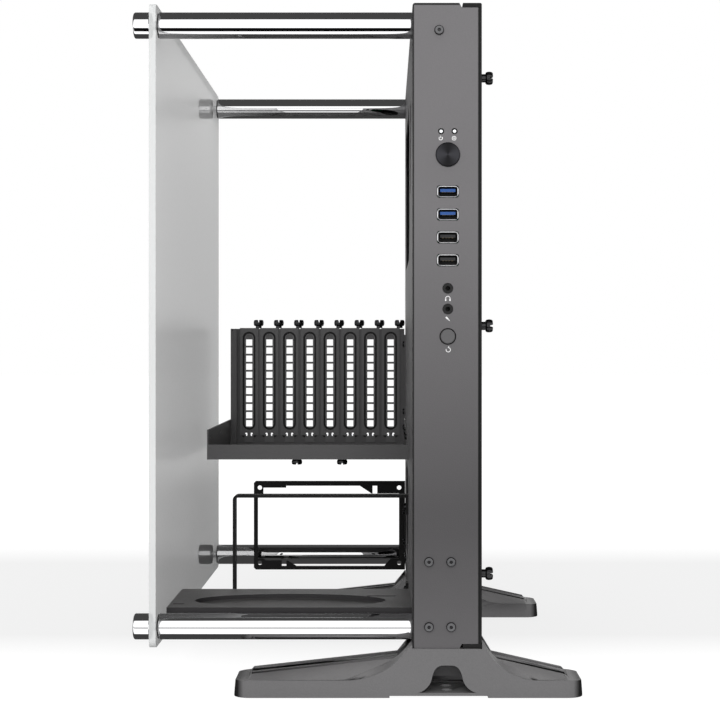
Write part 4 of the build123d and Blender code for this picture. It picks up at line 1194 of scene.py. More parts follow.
# Grey of the clear panel: painted reflection that it shows at a slant.
PANEL_REFLECTION_COLOUR = (0.62, 0.62, 0.62)
CAP_COLOUR = (0.007, 0.007, 0.008)
WHITE = (1.0, 1.0, 1.0, 1.0)
SIDE_PAINT = PowderCoat("side_paint", (0.085, 0.083, 0.085), 0.5)
FINE_GRAIN = {"grain": 1800.0, "depth": 0.00005}
BRACKET_PAINT = PowderCoat("bracket_paint", (0.052, 0.051, 0.052), 0.42, **FINE_GRAIN)
SHELF_PAINT = PowderCoat("shelf_paint", (0.064, 0.063, 0.064), 0.42, **FINE_GRAIN)
PLATE_PAINT = PowderCoat("plate_paint", (0.022, 0.021, 0.022), 0.4, **FINE_GRAIN)
FRAME_PAINT = PowderCoat("frame_paint", (0.009, 0.009, 0.009), 0.45, 0.12, **FINE_GRAIN)
ANGLE_ZINC = BareMetal("angle_zinc", (0.42, 0.42, 0.43), 0.45, 0.5, 0.2)
BLACK_OXIDE = BareMetal("screw_black_oxide", (0.050, 0.050, 0.052), 0.24, 0.5, 0.15)
# Paler steel for the screws' flat faces: a painted highlight.
SCREW_HIGHLIGHT_FACE = BareMetal("screw_highlight_face", (0.16, 0.16, 0.165), 0.38, 0.5, 0.2)
BRIGHT_STEEL = BareMetal("bright_steel", (0.55, 0.55, 0.56), 0.28, 0.5, 0.15)
CHROME = BareMetal("rod_chrome", (0.90, 0.90, 0.91), 0.012, 0.5, 0.015)
PORT_NICKEL = BareMetal("port_nickel", (0.86, 0.86, 0.88), 0.22, 0.5, 0.1)
CONTACT_DARK = BareMetal("contact_metal", (0.22, 0.18, 0.12), 0.3, 0.5, 0.1)
SPACER_BRASS = BareMetal("spacer_brass", (0.62, 0.45, 0.16), 0.3, 0.5, 0.2)
WASHER_RUBBER = Moulded("washer_rubber", (0.02, 0.02, 0.02), 0.7)
PAD_RUBBER = Moulded("pad_rubber", (0.025, 0.025, 0.025), 0.85, grain=2500.0, depth=0.0001)
SOCKET_PLASTIC = Moulded("socket_plastic", (0.009, 0.009, 0.009), 0.35)
SWITCH_PLASTIC = Moulded("switch_plastic", (0.02, 0.02, 0.02), 0.5)
BLUE_PLASTIC = Moulded("tongue_blue", (0.006, 0.055, 0.22), 0.3, coat=0.3)
BLACK_PLASTIC = Moulded("tongue_black", (0.010, 0.010, 0.011), 0.35, coat=0.3)
# Near black plastic for rings of painted shade in the gaps round the lights and the reset button.
GAP_SHADE_PLASTIC = Moulded("light_gap_shade", (0.006, 0.006, 0.006), 0.4, 0.1)
RESET_PLASTIC = Moulded("reset_cap", (0.080, 0.079, 0.081), 0.35)
SIGN_INK = Printed("sign_ink", (0.62, 0.62, 0.62), 0.6)
LIGHT_LENS = Lens("light_lens", (0.75, 0.77, 0.79), 0.2, 0.5)
BOARD_LACQUER = Lacquered("board_lacquer", (0.008, 0.06, 0.025), 0.35)


@dataclass
class TurnedParts:
    """Shapes of small turned pieces that several sub-assemblies use.

    Args:
        knurls: Ridges round a knurled head.
        knurl_depth: Relative height of a ridge.
    """

    knurls: int = 24
    knurl_depth: float = 0.035

    def knob(self, reach: float, height: float, neck: float, neck_height: float, slot: float,
             slot_depth: float) -> Shape:
        """Return a knurled thumbscrew head that stands on Z = 0, with a slot across its top.

        The profile is a neck, a swelling, a knurled band and a domed top. Points of the top
        whose Y lies within half the slot go down to the slot's floor.

        Args:
            reach: Radius of the head.
            height: Height of the head.
            neck: Radius of the neck.
            neck_height: Height of the neck.
            slot: Width of the slot.
            slot_depth: Depth of the slot.

        Returns:
            The head with its neck.
        """
        top = neck_height + height
        swell = np.linspace(0.0, math.pi / 2, 6)
        lower = [(neck_height + 0.26 * height * (1 - math.cos(a)),
                  neck + (reach - neck) * math.sin(a)) for a in swell]
        band = [(neck_height + share * height, reach) for share in (0.30, 0.34, 0.66, 0.70)]
        dome = [(top - 0.26 * height * (1 - math.sin(a)),
                 reach * (1 - 0.28 * (1 - math.cos(a)))) for a in swell]
        discs = [(top, reach * share) for share in (0.6, 0.42, 0.24, 0.04)]
        profile = [(0.0, neck), (neck_height * 0.8, neck)] + lower + band + dome + discs
        first, last = neck_height + 0.32 * height, neck_height + 0.68 * height

        def ridges(along: Array, angle: Array) -> Array:
            """Return ridges round the band, a rectified sine of the angle."""
            held = (along > first) & (along < last)
            return np.where(held, self.knurl_depth * np.abs(np.sin(self.knurls * angle / 2)), 0.0)

        shape = turned(profile, 96, ridges)
        points = shape.points.copy()
        inside = (np.abs(points[:, 1]) < slot / 2) & (points[:, 2] > top - slot_depth)
        points[inside, 2] = top - slot_depth
        return Shape(points, shape.faces)

    def socket_head(self, reach: float, height: float, socket: float) -> tuple[Shape, Shape]:
        """Return a low screw head on Z = 0 and the face that lies on it, which carries a painted
        highlight.

        The head is a profile of a wall, a rounded rim and a hexagonal socket: inside the socket's
        radius a ring's radius is the hexagon's, cos 30 over cos(a mod 60 - 30). The face is a
        flat ring between the rim and the socket, with a bevel at each border.

        Args:
            reach: Radius of the head.
            height: Height of the head.
            socket: Radius of the socket.

        Returns:
            The head and its face.
        """
        def hexagon(along: Array, angle: Array) -> Array:
            """Return how much less than round the socket's rings are.

            Args:
                along: Z of each ring.
                angle: Angle of each point.

            Returns:
                Relative change of each radius.
            """
            across = np.mod(angle, math.pi / 3) - math.pi / 6
            held = (along < height * 0.9) & (along > height * 0.2)
            return np.where(held, math.cos(math.pi / 6) / np.cos(across) - 1.0, 0.0) * (along > 0)

        rim = [(0.0, reach * 0.98), (height * 0.1, reach), (height * 0.15, reach)]
        bend = np.linspace(0.0, math.pi / 2, 6)
        round_rim = [(height * (0.2 + 0.74 * math.sin(a)),
                      reach * (1 - 0.16 * (1 - math.cos(a)))) for a in bend]
        well = [(height * 0.94, socket * 1.12), (height * 0.8, socket),
                (height * 0.3, socket), (height * 0.3, socket * 0.1)]
        head = turned(rim + round_rim + well, 72)
        low, high = height * 0.9, height
        ring = [(low, socket * 1.12), (high - 0.00003, socket * 1.12), (high, socket * 1.2),
                (high, reach * 0.74), (high - 0.00005, reach * 0.8), (low, reach * 0.8)]
        return head, self.ring(ring)

    @staticmethod
    def ring(profile: Sequence[tuple[float, float]], turns: int = 64) -> Shape:
        """Turn a closed profile of z and r round Z, as (r cos a, r sin a, z).

        Args:
            profile: Pairs of z and r, once round.
            turns: Points in one ring.

        Returns:
            The closed ring.
        """
        along, radius = np.array(profile, float).T
        angle = np.linspace(0.0, 2.0 * math.pi, turns, endpoint=False)
        reach = radius[:, None] * np.ones_like(angle)[None, :]
        height = along[:, None] * np.ones_like(angle)[None, :]
        grid = np.stack([reach * np.cos(angle), reach * np.sin(angle), height], axis=-1)
        return skin(grid, wrap_rows=True)


def middle(node: str) -> Array:
    """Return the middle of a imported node's box."""
    low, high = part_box(node)
    return (np.array(low) + np.array(high)) / 2


def islands(node: str) -> list[tuple[Array, Array]]:
    """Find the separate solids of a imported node.

    Args:
        node: Name of the node.

    Returns:
        Lowest and highest corner of each solid, sorted by X, then Y, then Z.
    """
    work = bmesh.new()
    work.from_mesh(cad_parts[node].data)
    bmesh.ops.remove_doubles(work, verts=work.verts, dist=WELD)
    work.verts.index_update()
    places = np.array([vertex.co for vertex in work.verts])
    edges = np.array([[vertex.index for vertex in edge.verts] for edge in work.edges])
    work.free()
    label = np.arange(len(places))
    settled = False
    while not settled:
        before = label.copy()
        least = np.minimum(label[edges[:, 0]], label[edges[:, 1]])
        np.minimum.at(label, edges[:, 0], least)
        np.minimum.at(label, edges[:, 1], least)
        label = label[label]
        settled = bool((label == before).all())
    groups = [places[label == number] for number in np.unique(label)]
    boxes = [(group.min(0), group.max(0)) for group in groups]
    return sorted(boxes, key=lambda box: tuple(np.round(box[0], 4)))


@dataclass
class SideWindow:
    """Clear side panel, its chrome rods and caps, and its washers and studs.

    Args:
        rods: Names of the rods' nodes.
        edge: Rounding of a rod's ends.
        cap_edge: Rounding of a cap's outer end.
    """

    rods: tuple[str, ...] = ("rod_top_front", "rod_bottom_front", "rod_top_rear", "rod_bottom_rear")
    edge: float = 0.0006
    cap_edge: float = 0.0016

    def rod(self, length: float, radius: float) -> Shape:
        """Return a rod along Z with softly rounded ends: quarter circles of the edge's size.

        Args:
            length: Length of the rod.
            radius: Radius of the rod.

        Returns:
            The rod.
        """
        turn = np.linspace(0.0, math.pi / 2, 5)
        start = [(self.edge * (1 - math.sin(a)), radius - self.edge * (1 - math.cos(a)))
                 for a in turn[::-1]]
        end = [(length - z, r) for z, r in start[::-1]]
        return turned([(0.0, radius * 0.4)] + start + end + [(length, radius * 0.4)], 128)

    def cap(self, length: float, radius: float) -> Shape:
        """Return a cap along Z: a faint waist near its seat, a round rim and a shallow dished end.

        Args:
            length: Length of the cap.
            radius: Radius of the cap.

        Returns:
            The cap.
        """
        turn = np.linspace(0.0, math.pi / 2, 7)
        seat = [(0.0, radius * 0.5), (0.0, radius - 0.0004), (0.0004, radius), (0.0012, radius)]
        rim = [(length - self.cap_edge * (1 - math.sin(a)),
                radius - self.cap_edge * (1 - math.cos(a))) for a in turn]
        dish = [(length, radius - self.cap_edge * 1.2), (length - 0.0002, radius * 0.72),
                (length - 0.0003, radius * 0.04)]
        return turned(seat + rim + dish, 128)

    def build(self, shop: Workshop) -> None:
        """Make the rods and caps, and dress the panel and what holds it.

        Args:
            shop: Where the pieces are made.
        """
        for node in self.rods:
            low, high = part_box(node)
            place = middle(node)
            radius = (high[1] - low[1]) / 2
            rod = self.rod(high[0] - low[0], radius)
            shape = rod.placed((low[0], place[1], place[2]), Side.RIGHT)
            shop.piece(f"{node}_polished", shape, CHROME, BODY, (node,), 25.0)
        shapes = []
        for low, high in islands("window_caps"):
            radius, place = (high[1] - low[1]) / 2, (low + high) / 2
            cap = self.cap(high[0] - low[0], radius)
            shapes.append(cap.placed((high[0], place[1], place[2]), Side.LEFT))
        shop.piece("caps_polished", joined(shapes), CHROME, BODY,
                   ("window_caps",), 25.0)
        low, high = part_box("window_panel")
        clear = ClearSheet("clear_panel", PANEL_REFLECTION_COLOUR, 0.3, 0.1, low=low[2], high=high[2])
        shop.dress("window_panel", clear)
        shop.dress("window_washers", WASHER_RUBBER)
        shop.dress("window_studs", BRIGHT_STEEL)
        shop.dress("rod_screws", BRIGHT_STEEL)


@dataclass
class Body:
    """Folded tray with its walls, the cover, and the screws on them.

    Args:
        knob_neck: Radius of a knob's neck.
        knob_share: Part of a knob's length that is neck.
        border: Width of the painted shade along the front wall's borders.
        painted_shade_low: Lowest corner of the wall's painted shade, darker low down.
        painted_shade_high: Highest corner of that painted shade.
        painted_shade_soft: Length over which that painted shade fades.
    """

    knob_neck: float = 0.0031
    knob_share: float = 0.36
    border: float = 0.0019
    painted_shade_low: Corner = (-FAR, -FAR, -0.1)
    painted_shade_high: Corner = (FAR, FAR, 0.36)
    painted_shade_soft: float = 0.22

    def wall_paint(self) -> PowderCoat:
        """Return the front wall's paint.

        Returns:
            Grey paint, with painted shade near black along three borders and deeper low down.
        """
        low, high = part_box("front_wall")
        soft = self.border * 0.4
        # Painted shade: near black along the left, right and top borders, and darker low down.
        painted_border_shades = (
            ((-FAR, -FAR, -FAR), (low[0] + self.border * 0.8, FAR, FAR), soft, 0.05),
            ((high[0] - self.border, -FAR, -FAR), (FAR, FAR, FAR), soft, 0.03),
            ((-FAR, -FAR, high[2] - self.border), (FAR, FAR, FAR), soft, 0.05),
            (self.painted_shade_low, self.painted_shade_high, self.painted_shade_soft, 0.5),
        )
        return PowderCoat("wall_paint", WALL_COLOUR, 0.42, painted_shade_zones=painted_border_shades)

    def build(self, shop: Workshop, parts: TurnedParts) -> None:
        """Dress the sheets and make the knobs and screw heads.

        Args:
            shop: Where the pieces are made.
            parts: The turned shapes.
        """
        shop.dress("front_wall", self.wall_paint())
        for node in ("chassis_tray", "rear_wall", "top_rail", "bottom_rail"):
            shop.dress(node, SIDE_PAINT)
        # Painted shade: the cover's paint turns darker along its front edge.
        front_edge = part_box("rear_cover")[0][1] + self.border * 1.5
        edge = (((-FAR, -FAR, -FAR), (FAR, front_edge, FAR), self.border, 0.1),)
        shop.dress("rear_cover", PowderCoat("cover_paint", COVER_COLOUR, 0.5, painted_shade_zones=edge))
        cover_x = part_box("rear_cover")[1][0]
        shapes = []
        for low, high in islands("cover_thumbscrews"):
            place, reach = (low + high) / 2, (high[1] - low[1]) / 2
            length = high[0] - cover_x
            head = parts.knob(reach, length * (1 - self.knob_share), self.knob_neck,
                              length * self.knob_share, 0.0016, 0.0022)
            shapes.append(head.placed((cover_x, place[1], place[2]), Side.RIGHT))
        shop.piece("cover_knobs", joined(shapes), BLACK_OXIDE, BODY,
                   ("cover_thumbscrews",))
        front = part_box("front_wall")[0][1]
        self.heads(shop, parts, "foot_screws", front)
        self.heads(shop, parts, "front_wall_screw", front)
        shop.dress("tray_screws", BLACK_OXIDE)

    def heads(self, shop: Workshop, parts: TurnedParts, node: str, front: float) -> None:
        """Make the heads of a node's screws on the front wall, with paler faces of painted
        highlight.

        Args:
            shop: Where the pieces are made.
            parts: The turned shapes.
            node: The screws' node.
            front: Y of the front wall's face.
        """
        rims, faces = [], []
        for low, high in islands(node):
            place, reach = (low + high) / 2, (high[0] - low[0]) / 2
            rim, face = parts.socket_head(reach, front - low[1], reach * 0.32)
            rims.append(rim.placed((place[0], front, place[2]), Side.FRONT))
            faces.append(face.placed((place[0], front, place[2]), Side.FRONT))
        shop.piece(f"{node}_heads", joined(rims), BLACK_OXIDE, BODY, (node,), 35.0)
        # Painted highlight: the flat faces take a paler steel than the heads.
        shop.piece(f"{node}_faces", joined(faces), SCREW_HIGHLIGHT_FACE, BODY, (), 35.0)


@dataclass
class Slots:
    """Expansion slots: bracket, eight pressed covers, their knobs, and the shelf below.

    Args:
        count: Number of covers.
        neck_share: Part of a knob's height that is neck.
        dish_drop: Height from the covers' top to the middle of a dish.
        dish_line: Half of a dish's straight length.
        dish_reach: Radius of a dish's round ends.
        dish_shade_width: Width of the ring of painted shade inside them.
        tab_drop: Height from the covers' top down to the tabs beside their feet.
        tab_reach: Distances of a tab's ends from the cover's middle.
        tab_height: Height of a tab.
        tab_sheet: Thickness of a tab.
        tab_depth: Depth of a tab's middle behind the cover's face.
    """

    count: int = 8
    neck_share: float = 0.24
    dish_drop: float = 0.053
    dish_line: float = 0.0429
    dish_reach: float = 0.0066
    dish_shade_width: float = 0.0022
    tab_drop: float = 0.1084
    tab_reach: tuple[float, float] = (0.0029, 0.0077)
    tab_height: float = 0.0036
    tab_sheet: float = 0.0007
    tab_depth: float = 0.0013

    def pressed(self) -> PressedCoat:
        """Return the covers' paint.

        Returns:
            One paint for all covers, with a ring of painted shade round the dish of each, a painted
            highlight line inside it and painted shadow between covers.
        """
        first, last = middle("slot_cover_1"), middle(f"slot_cover_{self.count}")
        pitch = (last[0] - first[0]) / (self.count - 1)
        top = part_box("slot_cover_1")[1][2]
        return PressedCoat("cover_press", PRESS_COLOUR, 0.38, **FINE_GRAIN,
                           first_x=first[0], pitch=pitch, middle_z=top - self.dish_drop,
                           half_line=self.dish_line, inner=self.dish_reach - self.dish_shade_width,
                           outer=self.dish_reach)

    def foot_tabs(self) -> Shape:
        """Return the tabs that close the bracket's windows beside the covers' narrow feet.

        Returns:
            Two flat tabs for each cover, behind its sheet.
        """
        tabs = []
        for number in range(1, self.count + 1):
            node = f"slot_cover_{number}"
            low, high = (np.array(corner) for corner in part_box(node))
            for side in (-1.0, 1.0):
                ends = (low[0] + high[0]) / 2 + side * np.array(self.tab_reach)
                height = high[2] - self.tab_drop
                path = np.stack([ends, np.full(2, height)], axis=-1)
                tab = stroke(path, self.tab_height, self.tab_sheet)
                behind = np.array([0.0, low[1] + self.tab_depth, 0.0])
                tabs.append(Shape(tab.points + behind, tab.faces))
        return joined(tabs)

    def build(self, shop: Workshop, parts: TurnedParts) -> None:
        """Dress the bracket, covers and shelf, and make the knobs.

        Args:
            shop: Where the pieces are made.
            parts: The turned shapes.
        """
        shop.dress("slot_bracket", BRACKET_PAINT)
        shop.piece("slot_foot_tabs", self.foot_tabs(), FRAME_PAINT, BODY)
        pressed = self.pressed()
        for number in range(1, self.count + 1):
            shop.dress(f"slot_cover_{number}", pressed)
        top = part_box("slot_cover_1")[1][2]
        shapes = []
        for low, high in islands("slot_thumbscrews"):
            place, reach = (low + high) / 2, (high[1] - low[1]) / 2
            length = high[2] - top
            head = parts.knob(reach, length * (1 - self.neck_share), reach * 0.62,
                              length * self.neck_share, 0.0018, 0.0026)
            shapes.append(head.placed((place[0], place[1], top), Side.UP))
        shop.piece("slot_knobs", joined(shapes), BLACK_OXIDE, BODY,
                   ("slot_thumbscrews",))
        shop.dress("riser_shelf", SHELF_PAINT)
        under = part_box("riser_shelf")[0][2]
        shapes = []
        for low, high in islands("shelf_thumbscrews"):
            place, reach = (low + high) / 2, (high[1] - low[1]) / 2
            length = under - low[2]
            head = parts.knob(reach, length * 0.9, reach * 0.7, length * 0.1, 0.0016, 0.0016)
            shapes.append(head.placed((place[0], place[1], under), Side.DOWN))
        shop.piece("shelf_knobs", joined(shapes), BLACK_OXIDE, BODY,
                   ("shelf_thumbscrews",))


@dataclass
class PowerBay:
    """Frame and strap for the power supply, and the pressed pump plate.

    Args:
        dark: Nodes in near black paint.
        pale: Nodes in the pump plate's paint.
    """

    dark: tuple[str, ...] = ("psu_frame", "psu_strap")
    pale: tuple[str, ...] = ("pump_bracket",)

    def build(self, shop: Workshop) -> None:
        """Dress the bay's sheets.

        Args:
            shop: Where the pieces are made.
        """
        for node in self.dark:
            shop.dress(node, FRAME_PAINT)
        for node in self.pale:
            shop.dress(node, PLATE_PAINT)


@dataclass
class Feet:
    """Cast feet with rounded edges, their pads, angles and screws.

    Args:
        rounding: Rounding of the castings' edges.
        tip: Length of the painted shade at each tip.
    """

    rounding: float = 0.0009
    tip: float = 0.0075

    def paint(self) -> PowderCoat:
        """Return the castings' paint.

        Returns:
            Grey paint, with painted shade near black at the rounded tips.
        """
        low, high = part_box("front_foot")
        # Painted shade: near black at both rounded tips.
        tip_shades = (
            ((-FAR, -FAR, -FAR), (low[0] + self.tip, FAR, FAR), self.tip * 0.6, 0.08),
            ((high[0] - self.tip, -FAR, -FAR), (FAR, FAR, FAR), self.tip * 0.6, 0.08),
        )
        return PowderCoat("cast_paint", CAST_COLOUR, 0.4, grain=1100.0, depth=0.00012,
                          mottle=0.2, painted_shade_zones=tip_shades)

    def build(self, shop: Workshop) -> None:
        """Round and dress the castings and dress what holds them.

        Args:
            shop: Where the pieces are made.
        """
        paint = self.paint()
        for node in ("front_foot", "rear_foot"):
            shop.softened(node, paint, BODY, self.rounding, 3)
        shop.dress("foot_pads", PAD_RUBBER)
        shop.dress("front_foot_upright", ANGLE_ZINC)
        shop.dress("rear_foot_upright", ANGLE_ZINC)
        shop.dress("foot_base_screws", BLACK_OXIDE)


@dataclass
class Connectors:
    """Buttons, lights, ports and sockets of the front wall, with their signs.

    Args:
        ports: Names of the ports, from the top.
        rim: Width of a port's flared rim.
        ink: Thickness of a printed sign.
        line: Width of a sign's lines.
        sign_gap: Distance of the lights' signs from the middle between them.
        headset_drop: Height from the headphone socket down to its sign.
        voice_drop: Height from the microphone socket down to its sign.
        again_drop: Height from the reset button down to its sign.
        lens_share: Radius of a light's lens as a share of its guide's.
        gap_shade_inner: Inner radius of the dark ring of painted shade round the reset button.
        gap_shade_outer: Outer radius of that ring.
        gap_shade_depth: Depth of that ring.
        strip_half: Half of a contact strip's width.
        strip_sheet: Thickness of a contact strip.
        strip_inset: How much shorter a contact strip is than its tongue.
    """

    ports: tuple[str, ...] = ("upper_fast", "lower_fast", "upper_plain", "lower_plain")
    rim: float = 0.0009
    ink: float = 0.00006
    line: float = 0.0007
    sign_gap: float = 0.0052
    headset_drop: float = 0.0075
    voice_drop: float = 0.0073
    again_drop: float = 0.0098
    lens_share: float = 0.6
    gap_shade_inner: float = 0.00545
    gap_shade_outer: float = 0.00605
    gap_shade_depth: float = 0.0012
    strip_half: float = 0.0006
    strip_sheet: float = 0.00024
    strip_inset: float = 0.001

    def port_shell(self, low: Array, high: Array) -> Shape:
        """Return a port's shell: rounded rectangles carried from the back round the flared rim.

        Args:
            low: Lowest corner of the port's solid.
            high: Highest corner of the port's solid.

        Returns:
            The shell, closed at both ends of its wall.
        """
        half_x, half_z = (high[0] - low[0]) / 2, (high[2] - low[2]) / 2
        place = (low + high) / 2
        front, back = low[1], high[1]
        inner_x, inner_z = half_x - self.rim, half_z - self.rim * 0.9
        rings = [
            (back, inner_x + 0.0004, inner_z + 0.0004, 0.0018),
            (front + 0.0008, inner_x + 0.0004, inner_z + 0.0004, 0.0018),
            (front + 0.0008, half_x - 0.0001, half_z - 0.0001, 0.0026),
            (front + 0.0005, half_x, half_z, 0.0027),
            (front + 0.00012, half_x - 0.0001, half_z - 0.0001, 0.0026),
            (front, half_x - 0.0003, half_z - 0.0003, 0.0024),
            (front, inner_x + 0.0003, inner_z + 0.0003, 0.0017),
            (front + 0.0002, inner_x + 0.0001, inner_z + 0.0001, 0.0015),
            (front + 0.0009, inner_x, inner_z, 0.0014),
            (back - 0.0006, inner_x, inner_z, 0.0014),
        ]
        loops = [
            np.insert(rounded_loop(width, height, corner), 1, y, axis=1)
            for y, width, height, corner in rings
        ]
        grid = np.stack(loops) + np.array([place[0], 0.0, place[2]])
        return capped(skin(grid), grid.shape[1])

    def inner_shade(self, low: Array, high: Array) -> Shape:
        """Return a port's dark inner sleeve, painted shade just inside its shell, with a closed
        back.

        Args:
            low: Lowest corner of the port's solid.
            high: Highest corner of the port's solid.

        Returns:
            The sleeve, from just behind the rim to the shell's back.
        """
        half_x, half_z = (high[0] - low[0]) / 2 - self.rim, (high[2] - low[2]) / 2 - self.rim * 0.9
        place = (low + high) / 2
        front, back = low[1] + 0.0003, high[1] - 0.0007
        rings = [(back, 0.00005, 0.0014), (front, 0.00005, 0.0014), (front, 0.0003, 0.0012),
                 (back - 0.0003, 0.0003, 0.0012)]
        loops = [
            np.insert(rounded_loop(half_x - inset, half_z - inset, corner), 1, y, axis=1)
            for y, inset, corner in rings
        ]
        grid = np.stack(loops) + np.array([place[0], 0.0, place[2]])
        return capped(skin(grid), grid.shape[1])

    def contacts(self, node: str, count: int) -> Shape:
        """Return a row of contact strips on the lower face of a port's tongue.

        Args:
            node: The tongue's node.
            count: Number of strips.

        Returns:
            The strips.
        """
        low, high = (np.array(corner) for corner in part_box(node))
        middles = np.linspace(low[0], high[0], count + 2)[1:-1]
        height = low[2] - self.strip_sheet / 2
        length = high[1] - low[1] - self.strip_inset
        strips = [
            stroke(np.array([[x - self.strip_half, height], [x + self.strip_half, height]]),
                   self.strip_sheet, length)
            for x in middles
        ]
        shape = joined(strips)
        return Shape(shape.points + np.array([0.0, (low[1] + high[1]) / 2, 0.0]), shape.faces)

    def signs(self, front: float) -> Shape:
        """Lay out the printed signs beside the lights, sockets and the reset button.

        Args:
            front: Y of the front wall's face.

        Returns:
            Arcs and straight strokes: a switch sign and a disc sign under the lights, a headset,
            a microphone and a turned arrow under the sockets.
        """
        guides = middle("light_guides")
        left, right = guides[0] - self.sign_gap, guides[0] + self.sign_gap * 0.88
        under = guides[2] - 0.0052
        thin = self.line * 0.75
        marks = [
            stroke(arc((left, under), 0.00125, 130.0, 410.0, 28), thin, self.ink),
            stroke(np.array([[left, under + 0.0003], [left, under + 0.0018]]), thin, self.ink),
            stroke(arc((right, under), 0.0014, 0.0, 345.0, 32), thin, self.ink, True),
            stroke(arc((right, under), 0.0004, 0.0, 330.0, 12), thin * 0.8, self.ink, True),
        ]
        ear = middle("headphone_jack")
        ear_z = ear[2] - self.headset_drop
        band = arc((ear[0], ear_z), 0.00165, -10.0, 190.0, 22)
        cups = [np.array([[x, ear_z], [x, ear_z - 0.0018]])
                for x in (ear[0] - 0.0016, ear[0] + 0.0016)]
        marks.append(stroke(band, thin, self.ink))
        marks.extend(stroke(cup, self.line * 1.3, self.ink) for cup in cups)
        voice = middle("microphone_jack")
        tip = np.array([voice[0] - 0.0014, voice[2] - self.voice_drop + 0.0014])
        tail = np.array([voice[0] + 0.0014, voice[2] - self.voice_drop - 0.0014])
        marks.append(stroke(np.array([tip, tip * 0.45 + tail * 0.55]), self.line * 1.7, self.ink))
        marks.append(stroke(np.array([tip * 0.5 + tail * 0.5, tail]), self.line * 0.8, self.ink))
        again = middle("reset_button")
        turn = arc((again[0] + 0.0003, again[2] - self.again_drop), 0.0016, 160.0, 425.0, 28)
        marks.append(stroke(turn, thin, self.ink))
        head = turn[-1] + np.array([[-0.0002, 0.0011], [-0.0007, -0.0001]])
        marks.append(stroke(head, thin, self.ink))
        shape = joined(marks)
        return Shape(shape.points + np.array([0.0, front - self.ink / 2, 0.0]), shape.faces)

    def build(self, shop: Workshop) -> None:
        """Make and dress the connectors.

        Args:
            shop: Where the pieces are made.
        """
        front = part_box("front_wall")[0][1]
        for number, name in enumerate(self.ports):
            node = f"port_shell_{name}"
            low, high = (np.array(corner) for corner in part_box(node))
            shop.piece(f"{node}_flared", self.port_shell(low, high), PORT_NICKEL, BODY,
                       (node,), 40.0)
            # Painted shade: a dark sleeve darkens the inside of the port's shell.
            shop.piece(f"{node}_lining", self.inner_shade(low, high), SOCKET_PLASTIC, BODY)
            tongue = f"port_tongue_{name}"
            fast = number < 2
            shop.dress(tongue, BLUE_PLASTIC if fast else BLACK_PLASTIC)
            shop.piece(f"{tongue}_contacts", self.contacts(tongue, 5 if fast else 4), CONTACT_DARK,
                       BODY)
        for node in ("headphone_jack", "microphone_jack"):
            shop.dress(node, SOCKET_PLASTIC)
        self.buttons(shop, front)
        self.lights(shop, front)
        shop.piece("front_signs", self.signs(front), SIGN_INK, BODY)
        for node in ("power_plunger", "power_switch", "reset_plunger", "reset_switch"):
            shop.dress(node, SWITCH_PLASTIC)
        shop.dress("io_board", BOARD_LACQUER)
        shop.dress("io_spacers", SPACER_BRASS)
        shop.dress("io_screws", BRIGHT_STEEL)

    def lights(self, shop: Workshop, front: float) -> None:
        """Make the lights' domed lenses and the dark rings of painted shade round them.

        Args:
            shop: Where the pieces are made.
            front: Y of the front wall's face.
        """
        lenses, lens_shades = [], []
        for low, high in islands("light_guides"):
            place, radius = (low + high) / 2, (high[0] - low[0]) / 2
            lens = radius * self.lens_share
            depth = high[1] - front
            dome = [(lens * 0.4 * (math.sin(a) - 0.75), lens * math.cos(a))
                    for a in np.linspace(0.0, 1.5, 10)]
            round_lens = turned([(-depth, lens)] + dome, 40)
            lenses.append(round_lens.placed((place[0], front, place[2]), Side.FRONT))
            # Painted shade: a dark ring fills the hole round each lens.
            lens_shade = [(-depth, lens + 0.00005), (-0.0002, lens + 0.00005), (0.0, lens + 0.00025),
                      (0.0, radius - 0.0002), (-0.0002, radius), (-depth, radius)]
            lens_shades.append(TurnedParts.ring(lens_shade).placed((place[0], front, place[2]), Side.FRONT))
        shop.piece("light_lenses", joined(lenses), LIGHT_LENS, BODY, ("light_guides",))
        shop.piece("light_gap_shades", joined(lens_shades), GAP_SHADE_PLASTIC, BODY)

    def buttons(self, shop: Workshop, front: float) -> None:
        """Dress both buttons, and make a dark ring of painted shade in the gap round the reset
        button.

        Args:
            shop: Where the pieces are made.
            front: Y of the front wall's face.
        """
        low, high = (np.array(corner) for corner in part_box("power_button"))
        place = (low + high) / 2
        turned_black = TurnedFace("power_cap", CAP_COLOUR, 0.32, 0.2, centre=tuple(place),
                                  metal=0.5)
        shop.dress("power_button", turned_black)
        shop.dress("reset_button", RESET_PLASTIC)
        again = middle("reset_button")
        # Painted shade: a dark ring in the gap round the reset button.
        profile = [(-self.gap_shade_depth, self.gap_shade_inner), (0.0, self.gap_shade_inner),
                   (0.0, self.gap_shade_outer), (-self.gap_shade_depth, self.gap_shade_outer)]
        gap_shade = TurnedParts.ring(profile).placed((again[0], front - 0.00005, again[2]), Side.FRONT)
        shop.piece("reset_gap_shade", gap_shade, GAP_SHADE_PLASTIC, BODY)


